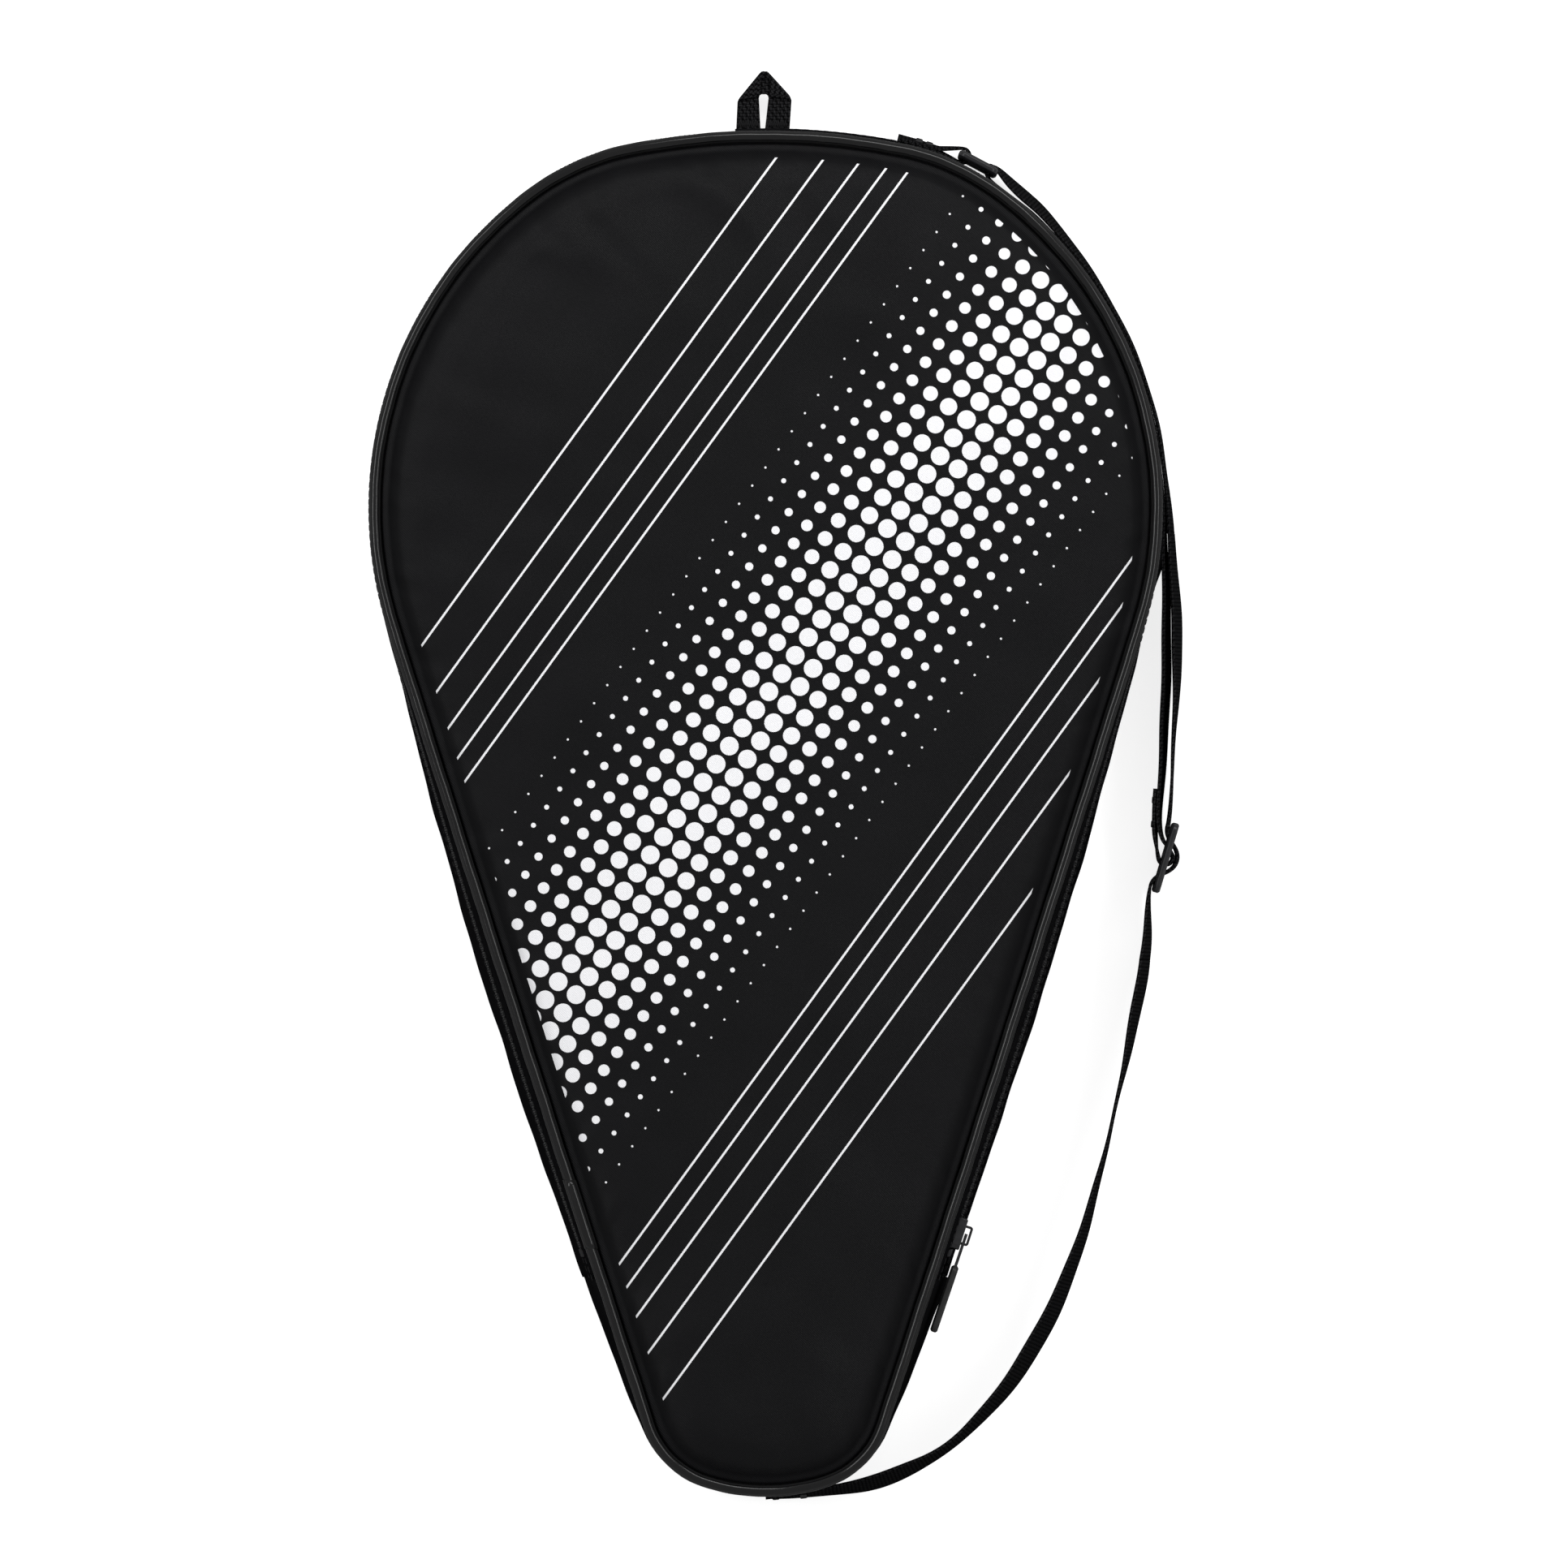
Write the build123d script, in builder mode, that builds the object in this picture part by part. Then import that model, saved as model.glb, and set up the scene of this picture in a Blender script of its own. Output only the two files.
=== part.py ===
"""A padded, teardrop-shaped cover for a racket paddle, lying on its back.

+X is the cover's right, +Y runs from its toe to its crown, +Z points up out of its front panel.
The origin is on the rest face, under the middle of the cover's length. Sizes are in millimetres.
"""

import math
import os

from build123d import *

os.makedirs("parts", exist_ok=True)

# ---------------------------------------------------------------- outline of the gusset at its fullest
CASE_LENGTH = 489.2
CASE_WIDTH = 284.6
CROWN_R = 254.0
CROWN_CUT = 7.3  # how much lower the crown's arc stands than the head's circle would
BROW_R = 89.0  # joins the flatter crown to the head's circle
BELLY_SIDE_R = 2130.0  # the gusset's sides bow outwards
PANEL_SIDE_R = 30000.0  # the front panel's sides are nearly straight
CORNER_R = 34.7
CORNER_X = 11.2
TOE_R = 75.2

# ---------------------------------------------------------------- heights
BACK_SEAM_Z = 4.2  # middle of the back piping
BELLY_Z = 22.0
ZIP_Z = 38.0  # middle of the zipper chain
FRONT_SEAM_Z = 48.0  # middle of the front piping
SEAM_LEAN = 1.2  # how far the gusset's face leans in at both seams
ZIP_SHARE = 0.45  # of the way in from belly to panel, where the zipper stands upright

# ---------------------------------------------------------------- cloth, foam and piping
SHELL_T = 0.8
LINING_T = 0.6
FOAM_T = 4.6
GUSSET_T = 1.2
PIPING_R = 2.0
PIPING_INSET = 1.2  # from the gusset's face to the piping's middle
SEAM_GAP = 0.5  # clear space round the piping
LAYER_GAP = 0.25
BINDING_T = 2.4
BACK_BINDING_H = 8.0
FRONT_BINDING_H = 3.0
FOLD_GAP = 0.4  # between the flap and the pocket, at the fold

# ---------------------------------------------------------------- front panel's crown
PANEL_BASE_Z = 46.4
EDGE_H = 1.7
CHANNEL_W = 2.4  # sewn channel inside the piping
SHOULDER_W = 7.0
PANEL_FLAT = 24.0  # from the panel's edge to its flat middle
CROWN_H = 8.4
LINING_RISE = 3.0

# ---------------------------------------------------------------- where the zipper and the fold are
FOLD_Y = -129.0
ZIP_END_Y = -166.0
SLIDER_Y = -150.0
SLIDER_TRAVEL = 150.0

# ---------------------------------------------------------------- zipper
COIL_W = 2.1
COIL_T = 1.7
ROW_GAP = 1.5
COIL_PROUD = 0.5
TAPE_T = 0.6
TAPE_LAP = 4.6  # how far each tape runs behind the cloth it is sewn to
CHAIN_CLEAR = 1.75  # bare tape between a coil row and the cloth's edge
SLIDER_L = 11.5
SLIDER_W = 8.0
SLIDER_TAIL_W = 7.2
PLATE_T = 1.0
FLANGE_T = 0.8
SLIDER_PLAY = 0.9
NECK_T = 0.9
BAIL_L = 7.2
BAIL_W = 1.4
BAIL_T = 0.9
PULL_T = 1.0
PULL_W = 5.0
PULL_L = 17.0
EYE_L = 6.0
EYE_W = 2.4
PIVOT_R = 0.6
PIVOT_GAP = 0.3
PULL_REST = 1.0  # degrees that the hanging pull leans in to the gusset
GRIP_W = 7.0
GRIP_T = 2.6
GRIP_L = 25.0
GRIP_LAP = 5.0
GRIP_ROUND = 0.6
STOP_L = 2.6

# ---------------------------------------------------------------- webbing and its fittings
WEB_T = 1.2
WEB_W = 25.0
WEB_GAP = 0.25
STRAP_Z = 16.5  # middle of the shoulder strap's width
BAR_T = 3.0
BAR_ROUND = 0.8
RING_OPEN = 9.6
RING_ROOM = 1.0  # what the fittings' slots have over the webbing's width
RING_ALONG = 76.7  # round the gusset from the crown's middle
RING_STANDOFF = 3.3  # from the gusset's face to the middle of the ring's bars
RING_LEAN = 0.9  # degrees that its free end stands out
TAB_ALONG = 49.35
TAB_SEWN = 13.0
GLIDE_L = 26.0
GLIDE_T = 2.4
GLIDE_BAR = 4.5
GLIDE_MID = 3.0
GLIDE_RAIL = 2.75
GLIDE_ROUND = 0.6
GLIDE_X, GLIDE_Y = 143.6, -15.9
GLIDE_LEAN = 73.4  # degrees from +X
LOOP_W = 19.4  # both legs of the hang loop
LOOP_LEG = 8.4
LOOP_SHOULDER = 11.8  # above the crown
LOOP_H = 22.6
LOOP_T = 1.4
LOOP_X = -1.2
LOOP_TIP = 3.0
LOOP_SLOT = 2.8  # between the legs, below the fold
LOOP_SLIT = 1.6  # and where the legs enter the seam
FACING_T = 0.9
FACING_X0, FACING_X1 = -11.0, 47.0
FACING_LOW, FACING_HIGH = 8.7, 32.0
STITCH_T = 0.5
STITCH_W = 2.2
TOE_TACKS = (3.0, 15.0)
END_TACKS = (4.0, 12.0)
STRAP_SEWN = 16.0
SLEEVE_T = 0.8
SLEEVE_PROUD = 0.3
SLEEVE_Y0, SLEEVE_Y1 = -155.5, -131.0

HEAD_R = CASE_WIDTH / 2
TOP_Y = CASE_LENGTH / 2
TOE_Y = -CASE_LENGTH / 2
SEAM_FREE = PIPING_R + SEAM_GAP
GUSSET_LOW = BACK_SEAM_Z + SEAM_FREE
GUSSET_HIGH = FRONT_SEAM_Z - SEAM_FREE
BACK_T = SHELL_T + FOAM_T + LINING_T
ROW_IN = ROW_GAP / 2
ROW_OUT = ROW_IN + COIL_W
ZIP_LOW = ZIP_Z - ROW_OUT - CHAIN_CLEAR  # upper edge of the cloth below the chain
ZIP_HIGH = ZIP_Z + ROW_OUT + CHAIN_CLEAR  # lower edge of the cloth above it
TAPE_IN = GUSSET_T + LAYER_GAP
TAPE_OUT = TAPE_IN + TAPE_T


# ---------------------------------------------------------------- the teardrop
def meet(a, reach_a, b, reach_b):
    """The point at these distances from a and b, on the right of the way from a to b."""
    gap = math.dist(a, b)
    along = (reach_a**2 - reach_b**2 + gap**2) / (2 * gap)
    aside = math.sqrt(reach_a**2 - along**2)
    ux, uy = (b[0] - a[0]) / gap, (b[1] - a[1]) / gap
    return (a[0] + ux * along + uy * aside, a[1] + uy * along - ux * aside)


def bearing(a, b):
    """The way from a to b, in degrees from +X."""
    return math.degrees(math.atan2(b[1] - a[1], b[0] - a[0]))


def flank(side_r):
    """The right half's tangent arcs from crown to toe, each as (middle, radius, start, end)."""
    crown = (0, TOP_Y - CROWN_R)
    head = (0, TOP_Y + CROWN_CUT - HEAD_R)
    toe = (0, TOE_Y + TOE_R)
    brow = meet(crown, CROWN_R - BROW_R, head, HEAD_R - BROW_R)
    corner = (CORNER_X, toe[1] - math.sqrt((TOE_R - CORNER_R) ** 2 - CORNER_X**2))
    side = meet(head, side_r - HEAD_R, corner, side_r - CORNER_R)
    turns = [
        bearing(crown, brow),
        bearing(head, brow),
        bearing(side, head),
        bearing(side, corner),
        bearing(toe, corner),
    ]
    return [
        (crown, CROWN_R, 90, turns[0]),
        (brow, BROW_R, turns[0], turns[1]),
        (head, HEAD_R, turns[1], turns[2]),
        (side, side_r, turns[2], turns[3]),
        (corner, CORNER_R, turns[3], turns[4]),
        (toe, TOE_R, turns[4], -90),
    ]


def draw_outline(side_r, inset):
    """The closed teardrop as ten arcs, inset from the gusset's fullest outline."""
    crown, *flanks, toe = flank(side_r)
    for middle, radius, start, end in flanks:
        CenterArc(middle, radius - inset, end, start - end)
    mirror(about=Plane.YZ)
    CenterArc(crown[0], crown[1] - inset, crown[3], 2 * (90 - crown[3]))
    CenterArc(toe[0], toe[1] - inset, -180 - toe[2], 2 * (toe[2] + 90))


def panel_share(z):
    """0 up to the belly, ZIP_SHARE all across the zipper, and 1 at the front seam."""
    if z <= BELLY_Z:
        return 0.0
    if z < ZIP_LOW:
        return ZIP_SHARE * (z - BELLY_Z) / (ZIP_LOW - BELLY_Z)
    if z <= ZIP_HIGH:
        return ZIP_SHARE
    return ZIP_SHARE + (1 - ZIP_SHARE) * (z - ZIP_HIGH) / (FRONT_SEAM_Z - ZIP_HIGH)


def side_radius(z):
    """The sides' radius at height z: bowed at the belly, nearly straight at the front panel."""
    share = panel_share(z)
    return 1 / ((1 - share) / BELLY_SIDE_R + share / PANEL_SIDE_R)


def lean(z):
    """How far the gusset's face lies inside its fullest outline at height z."""
    if z > BELLY_Z:
        return SEAM_LEAN * panel_share(z)
    return SEAM_LEAN * (BELLY_Z - z) / (BELLY_Z - BACK_SEAM_Z)


def gusset_face(z, inset=0.0):
    """A section of the gusset at height z, inset from its outer face."""
    with BuildSketch(Plane.XY.offset(z)) as section:
        with BuildLine():
            draw_outline(side_radius(z), lean(z) + inset)
        make_face()
    return section.sketch


def panel_face(seam_z, z, inset):
    """A section of a panel at height z, inset from the middle of its piping."""
    with BuildSketch(Plane.XY.offset(z)) as section:
        with BuildLine():
            draw_outline(side_radius(seam_z), SEAM_LEAN + PIPING_INSET + inset)
        make_face()
    return section.sketch


def band(heights, outer, inner):
    """A wall of the gusset through these heights, between two insets."""
    loft([gusset_face(z, outer) for z in heights], ruled=True)
    loft([gusset_face(z, inner) for z in heights], ruled=True, mode=Mode.SUBTRACT)


def pillow(seam_z, levels, mode=Mode.ADD):
    """A crowned panel through these (inset, height) levels."""
    loft([panel_face(seam_z, z, inset) for inset, z in levels], ruled=True, mode=mode)


def above(y):
    """Keep what lies on the crown's side of y."""
    split(bisect_by=Plane(origin=(0, y, 0), z_dir=(0, 1, 0)), keep=Keep.TOP)


def below(y):
    """Keep what lies on the toe's side of y."""
    split(bisect_by=Plane(origin=(0, y, 0), z_dir=(0, 1, 0)), keep=Keep.BOTTOM)


def save(part, name):
    """Label a finished piece and write its STEP file."""
    part.label = name
    export_step(part, f"parts/{name}.step")


FLAP_FROM = FOLD_Y + FOLD_GAP / 2
POCKET_TO = FOLD_Y - FOLD_GAP / 2


def save_folded(whole, flap_name, pocket_name):
    """Write a front piece as its two sides of the fold."""
    with BuildPart() as flap:
        add(whole)
        above(FLAP_FROM)
    with BuildPart() as pocket:
        add(whole)
        below(POCKET_TO)
    save(flap.part, flap_name)
    save(pocket.part, pocket_name)


# ---------------------------------------------------------------- back panel: shell, foam, lining
def back_levels(depth):
    """The back panel's underside, this deep inside its shell."""
    edge = SEAM_FREE + depth
    return [
        (edge + 13.0, depth),
        (edge + 6.0, 1.2 + depth),
        (edge + 2.0, 2.8 + depth),
        (edge, 3.6 + depth),
        (edge, BACK_T),
    ]


def back_slab(depth, top):
    """The back panel's space from this deep inside the shell up to a flat top."""
    *under, rim = back_levels(depth)
    pillow(BACK_SEAM_Z, under + [(rim[0], top)])


with BuildPart() as back_skin:
    back_slab(0, BACK_T)
    pillow(BACK_SEAM_Z, back_levels(SHELL_T), mode=Mode.SUBTRACT)
save(back_skin.part, "back_skin")

with BuildPart() as back_foam:
    back_slab(SHELL_T, BACK_T - LINING_T)
save(back_foam.part, "back_foam")

with BuildPart() as back_lining:
    extrude(panel_face(BACK_SEAM_Z, BACK_T - LINING_T, SEAM_FREE + SHELL_T), amount=LINING_T)
save(back_lining.part, "back_lining")


# ---------------------------------------------------------------- piping
def piping_run(seam_z, radius, mode=Mode.ADD):
    """A cord along a seam, eight-sided to keep it light."""
    with BuildLine(Plane.XY.offset(seam_z)) as seam:
        draw_outline(side_radius(seam_z), SEAM_LEAN + PIPING_INSET)
    start = Plane(origin=seam.wire() @ 0, x_dir=(0, 0, 1), z_dir=seam.wire() % 0)
    with BuildSketch(start) as cord:
        RegularPolygon(radius, 8, rotation=22.5)
    sweep(cord.sketch, path=seam.wire(), mode=mode)


with BuildPart() as back_piping:
    piping_run(BACK_SEAM_Z, PIPING_R)
save(back_piping.part, "back_piping")

with BuildPart() as sleeve_space:
    piping_run(FRONT_SEAM_Z, PIPING_R + SLEEVE_PROUD)
    above(SLEEVE_Y0)
    below(SLEEVE_Y1)
    split(bisect_by=Plane.YZ, keep=Keep.BOTTOM)

with BuildPart() as piping_core:
    piping_run(FRONT_SEAM_Z, PIPING_R + SLEEVE_PROUD - SLEEVE_T)

with BuildPart() as piping_join_sleeve:
    add(sleeve_space.part)
    add(piping_core.part, mode=Mode.SUBTRACT)
save(piping_join_sleeve.part, "piping_join_sleeve")

with BuildPart() as front_piping:
    piping_run(FRONT_SEAM_Z, PIPING_R)
    above(FLAP_FROM)
save(front_piping.part, "front_piping")

with BuildPart() as pocket_piping:
    piping_run(FRONT_SEAM_Z, PIPING_R)
    below(POCKET_TO)
    add(piping_join_sleeve.part, mode=Mode.SUBTRACT)
save(pocket_piping.part, "pocket_piping")


# ---------------------------------------------------------------- gusset
with BuildPart() as full_band:
    band([GUSSET_LOW, BELLY_Z, ZIP_LOW], 0, GUSSET_T)

with BuildPart() as gusset_band:
    add(full_band.part)
    above(ZIP_END_Y + LAYER_GAP / 2)
    with BuildSketch(Plane.XY.offset(GUSSET_LOW)):
        with Locations((LOOP_X, TOP_Y)):
            Rectangle(LOOP_W + 2 * LAYER_GAP, 6 * GUSSET_T)
    extrude(amount=LOOP_T + 2 * LAYER_GAP, mode=Mode.SUBTRACT)
save(gusset_band.part, "gusset_band")

with BuildPart() as toe_gusset:
    band([GUSSET_LOW, BELLY_Z, ZIP_LOW, ZIP_HIGH, GUSSET_HIGH], 0, GUSSET_T)
    below(ZIP_END_Y - LAYER_GAP / 2)
save(toe_gusset.part, "toe_gusset")

with BuildPart() as strip_whole:
    band([ZIP_HIGH, GUSSET_HIGH], 0, GUSSET_T)
    above(ZIP_END_Y + LAYER_GAP / 2)
save_folded(strip_whole.part, "front_strip", "pocket_strips")

with BuildPart() as gusset_facing:
    band([FACING_LOW, BELLY_Z, FACING_HIGH], -LAYER_GAP - FACING_T, -LAYER_GAP)
    above(0)
    split(bisect_by=Plane(origin=(FACING_X0, 0, 0), z_dir=(1, 0, 0)), keep=Keep.TOP)
    split(bisect_by=Plane(origin=(FACING_X1, 0, 0), z_dir=(1, 0, 0)), keep=Keep.BOTTOM)
save(gusset_facing.part, "gusset_facing")


# ---------------------------------------------------------------- bindings over the inner seams
with BuildPart() as back_binding:
    band([BACK_T + LAYER_GAP, BACK_T + BACK_BINDING_H], TAPE_IN, TAPE_IN + BINDING_T)
save(back_binding.part, "back_binding")

BINDING_IN = TAPE_OUT + LAYER_GAP
with BuildPart() as binding_whole:
    band([GUSSET_HIGH - FRONT_BINDING_H, GUSSET_HIGH], BINDING_IN, BINDING_IN + BINDING_T)
save_folded(binding_whole.part, "front_binding", "pocket_binding")


# ---------------------------------------------------------------- front panel: shell, foam, lining
def front_levels(depth, height):
    """The front panel's upper side, this far inside its shell and so high over its base."""
    edge = SEAM_FREE + depth
    rise = (height - EDGE_H) / (CROWN_H - EDGE_H)
    return [
        (edge, PANEL_BASE_Z),
        (edge, PANEL_BASE_Z + EDGE_H - depth),
        (edge + CHANNEL_W, PANEL_BASE_Z + EDGE_H - depth + 0.5 * rise),
        (edge + SHOULDER_W, PANEL_BASE_Z + EDGE_H - depth + 3.8 * rise),
        (edge + 2 * SHOULDER_W, PANEL_BASE_Z + EDGE_H - depth + 5.7 * rise),
        (SEAM_FREE + PANEL_FLAT, PANEL_BASE_Z + height),
    ]


LINING_EDGE = SEAM_FREE + 3.2
LINING_TOP = [
    (LINING_EDGE, PANEL_BASE_Z),
    (LINING_EDGE + SHOULDER_W, PANEL_BASE_Z + 0.6 * LINING_RISE),
    (SEAM_FREE + PANEL_FLAT, PANEL_BASE_Z + LINING_RISE + LINING_T),
]
LINING_UNDER = [
    (LINING_EDGE + 2 * LINING_T, PANEL_BASE_Z),
    (LINING_EDGE + SHOULDER_W + LINING_T, PANEL_BASE_Z + 0.6 * LINING_RISE - LINING_T),
    (SEAM_FREE + PANEL_FLAT, PANEL_BASE_Z + LINING_RISE),
]

with BuildPart() as skin_whole:
    pillow(FRONT_SEAM_Z, front_levels(0, CROWN_H))
    pillow(FRONT_SEAM_Z, front_levels(SHELL_T, CROWN_H - SHELL_T), mode=Mode.SUBTRACT)
save_folded(skin_whole.part, "front_skin", "pocket_skin")

with BuildPart() as foam_whole:
    pillow(FRONT_SEAM_Z, front_levels(SHELL_T, CROWN_H - SHELL_T))
    pillow(FRONT_SEAM_Z, LINING_TOP, mode=Mode.SUBTRACT)
save_folded(foam_whole.part, "front_foam", "pocket_foam")

with BuildPart() as lining_whole:
    pillow(FRONT_SEAM_Z, LINING_TOP)
    pillow(FRONT_SEAM_Z, LINING_UNDER, mode=Mode.SUBTRACT)
save_folded(lining_whole.part, "front_lining", "pocket_lining")


# ---------------------------------------------------------------- zipper tapes and coils
CHAIN_END_Y = SLIDER_Y - SLIDER_L / 2

with BuildPart() as zipper_tape_back:
    band([ZIP_LOW - TAPE_LAP, ZIP_LOW, ZIP_Z - ROW_IN], TAPE_IN, TAPE_OUT)
    above(ZIP_END_Y + LAYER_GAP / 2)
save(zipper_tape_back.part, "zipper_tape_back")

with BuildPart() as tape_front_whole:
    band([ZIP_Z + ROW_IN, ZIP_HIGH, GUSSET_HIGH], TAPE_IN, TAPE_OUT)
    above(ZIP_END_Y + LAYER_GAP / 2)
save_folded(tape_front_whole.part, "zipper_tape_front", "pocket_zipper_tapes")

with BuildPart() as zipper_coil_back:
    band([ZIP_Z - ROW_OUT, ZIP_Z - ROW_IN], -COIL_PROUD, COIL_T - COIL_PROUD)
    above(CHAIN_END_Y)
save(zipper_coil_back.part, "zipper_coil_back")

with BuildPart() as coil_front_whole:
    band([ZIP_Z + ROW_IN, ZIP_Z + ROW_OUT], -COIL_PROUD, COIL_T - COIL_PROUD)
    above(CHAIN_END_Y)
save_folded(coil_front_whole.part, "zipper_coil_front", "pocket_zipper_coils")

with BuildPart() as zipper_stops:
    band([ZIP_Z - ROW_OUT, ZIP_Z + ROW_OUT], -COIL_PROUD - 0.3, COIL_T - COIL_PROUD)
    above(CHAIN_END_Y - LAYER_GAP - STOP_L)
    below(CHAIN_END_Y - LAYER_GAP)
save(zipper_stops.part, "zipper_stops")


# ---------------------------------------------------------------- zipper slider
def chain_point(along):
    """A point of the chain's outer face, this far up the side from where the slider is parked."""
    middle, radius, _, _ = flank(side_radius(ZIP_Z))[3]
    start = math.asin((SLIDER_Y - middle[1]) / (radius - lean(ZIP_Z)))
    turn = start + along / radius
    reach = radius - lean(ZIP_Z)
    return Vector(middle[0] + reach * math.cos(turn), middle[1] + reach * math.sin(turn), ZIP_Z)


SLIDE_WAY = (chain_point(SLIDER_TRAVEL) - chain_point(0)).normalized()
SLIDE_OUT = Vector(SLIDE_WAY.Y, -SLIDE_WAY.X, 0)
CHAIN_BOW = (chain_point(SLIDER_TRAVEL / 2) - chain_point(0)).dot(SLIDE_OUT)
SLIDER = Plane(
    origin=chain_point(0) + SLIDE_OUT * (CHAIN_BOW / 2), x_dir=SLIDE_WAY, z_dir=SLIDE_OUT
)
PLATE_OUT = COIL_PROUD + SLIDER_PLAY  # underside of the slider's outer plate
PLATE_IN = -TAPE_OUT - SLIDER_PLAY  # upper side of its inner plate
PLATE_TOP = PLATE_OUT + PLATE_T
PIVOT_Z = PLATE_TOP + PIVOT_GAP + PIVOT_R


def slider_plan():
    """The slider's plates from above: wide at the neck's end and narrower at its tail."""
    half, tail = SLIDER_W / 2, SLIDER_TAIL_W / 2
    ends = (-SLIDER_L / 2, SLIDER_L / 2)
    with BuildSketch(mode=Mode.PRIVATE) as plan:
        with BuildLine():
            Polyline(
                (ends[0], 1.0 - half),
                (ends[0] + 2.0, -half),
                (ends[1], -tail),
                (ends[1], tail),
                (ends[0] + 2.0, half),
                (ends[0], half - 1.0),
                close=True,
            )
        make_face()
        fillet(plan.vertices(), 0.5)
    return plan.sketch


def bail_side():
    """The slider's bail from the side: a low arch over the pull's pivot, standing on the plate."""
    room = 2 * (PIVOT_R + PIVOT_GAP)
    with BuildSketch(mode=Mode.PRIVATE) as arch:
        with Locations((0, PLATE_TOP)):
            Rectangle(BAIL_L, room + BAIL_T, align=(Align.CENTER, Align.MIN))
            Rectangle(BAIL_L - 2 * BAIL_T, room, align=(Align.CENTER, Align.MIN), mode=Mode.SUBTRACT)
        fillet(arch.vertices().group_by(Axis.Y)[-1], 1.0)
    return arch.sketch


with BuildPart() as slider_body:
    with BuildSketch(SLIDER.offset(PLATE_OUT)):
        add(slider_plan())
    extrude(amount=PLATE_T)
    chamfer(slider_body.faces().sort_by(Axis(SLIDER.origin, SLIDER.z_dir))[-1].edges(), 0.35)
    with BuildSketch(SLIDER.offset(PLATE_IN - PLATE_T)):
        add(slider_plan())
    extrude(amount=PLATE_T)
    with BuildSketch(SLIDER.offset(PLATE_OUT)):
        add(slider_plan())
        Rectangle(2 * SLIDER_L, SLIDER_W - 2 * FLANGE_T, mode=Mode.SUBTRACT)
    extrude(amount=-(PLATE_OUT + TAPE_IN - SLIDER_PLAY))
    with BuildSketch(SLIDER.offset(PLATE_IN)):
        with Locations((-SLIDER_L / 2 + 1.6, 0)):
            SlotOverall(2.6, NECK_T)
    extrude(amount=PLATE_OUT - PLATE_IN)
    with BuildSketch(Plane(SLIDER.origin, x_dir=SLIDER.x_dir, z_dir=-SLIDER.y_dir)):
        add(bail_side())
    extrude(amount=BAIL_W / 2, both=True)
save(slider_body.part, "slider_body")


# ---------------------------------------------------------------- slider's pull: plate and moulded grip
# The pivot runs across this plane's middle, along its y axis.
PULL_PIVOT = Plane(
    origin=SLIDER.offset(PIVOT_Z).origin,
    x_dir=SLIDE_WAY.rotate(Axis.Z, -PULL_REST),
    z_dir=SLIDE_OUT.rotate(Axis.Z, -PULL_REST),
)

with BuildPart() as pull_tab:
    with BuildSketch(PULL_PIVOT.offset(-PULL_T / 2)):
        with Locations((PIVOT_R - PULL_L / 2, 0)):
            RectangleRounded(PULL_L, PULL_W, PIVOT_R)
        with Locations((-PIVOT_R - EYE_L / 2, 0)):
            RectangleRounded(EYE_L, EYE_W, PIVOT_R, mode=Mode.SUBTRACT)
    extrude(amount=PULL_T)
save(pull_tab.part, "pull_tab")

GRIP_START = PIVOT_R - PULL_L + GRIP_LAP
with BuildPart() as pull_grip:
    with BuildSketch(PULL_PIVOT.offset(-GRIP_T / 2)):
        with Locations((GRIP_START - GRIP_L / 2, 0)):
            RectangleRounded(GRIP_L, GRIP_W, GRIP_W / 3)
    extrude(amount=GRIP_T)
    chamfer(pull_grip.faces().filter_by(PULL_PIVOT).edges(), GRIP_ROUND)
    add(pull_tab.part, mode=Mode.SUBTRACT)
save(pull_grip.part, "pull_grip")


# ---------------------------------------------------------------- strap ring and its tab
def gusset_point(along):
    """A point of the gusset's fullest outline, this far round from the crown, and the way out."""
    for middle, radius, start, end in flank(BELLY_SIDE_R):
        turn = start - math.degrees(along / radius)
        if turn >= end:
            break
        along -= radius * math.radians(start - end)
    out = Vector(math.cos(math.radians(turn)), math.sin(math.radians(turn)))
    return Vector(*middle) + out * radius, out


RING_FOOT, RING_OUT = gusset_point(RING_ALONG)
RING_WAY = RING_OUT.rotate(Axis.Z, RING_LEAN - 90)
RING_MIDDLE = RING_FOOT + RING_OUT * RING_STANDOFF
NEAR_BAR = RING_MIDDLE - RING_WAY * (RING_OPEN + BAR_T) / 2
FAR_BAR = RING_MIDDLE + RING_WAY * (RING_OPEN + BAR_T) / 2
RING_PLANE = Plane(
    origin=(RING_MIDDLE.X, RING_MIDDLE.Y, STRAP_Z),
    x_dir=RING_WAY,
    z_dir=(-RING_WAY.Y, RING_WAY.X, 0),
)
ROOM_W = WEB_W + RING_ROOM

with BuildPart() as strap_ring:
    with BuildSketch(RING_PLANE.offset(-BAR_T / 2)):
        RectangleRounded(RING_OPEN + 2 * BAR_T, ROOM_W + 2 * BAR_T, 2.5)
        RectangleRounded(RING_OPEN, ROOM_W, 1.0, mode=Mode.SUBTRACT)
    extrude(amount=BAR_T)
    chamfer(strap_ring.faces().filter_by(RING_PLANE).edges(), BAR_ROUND)
save(strap_ring.part, "strap_ring")


def tangents(middle, radius, foot):
    """Where the two tangents from foot touch a circle."""
    way = foot - middle
    spread = math.degrees(math.acos(radius / way.length))
    reach = way.normalized() * radius
    return [middle + reach.rotate(Axis.Z, side * spread) for side in (-1, 1)]


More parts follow.
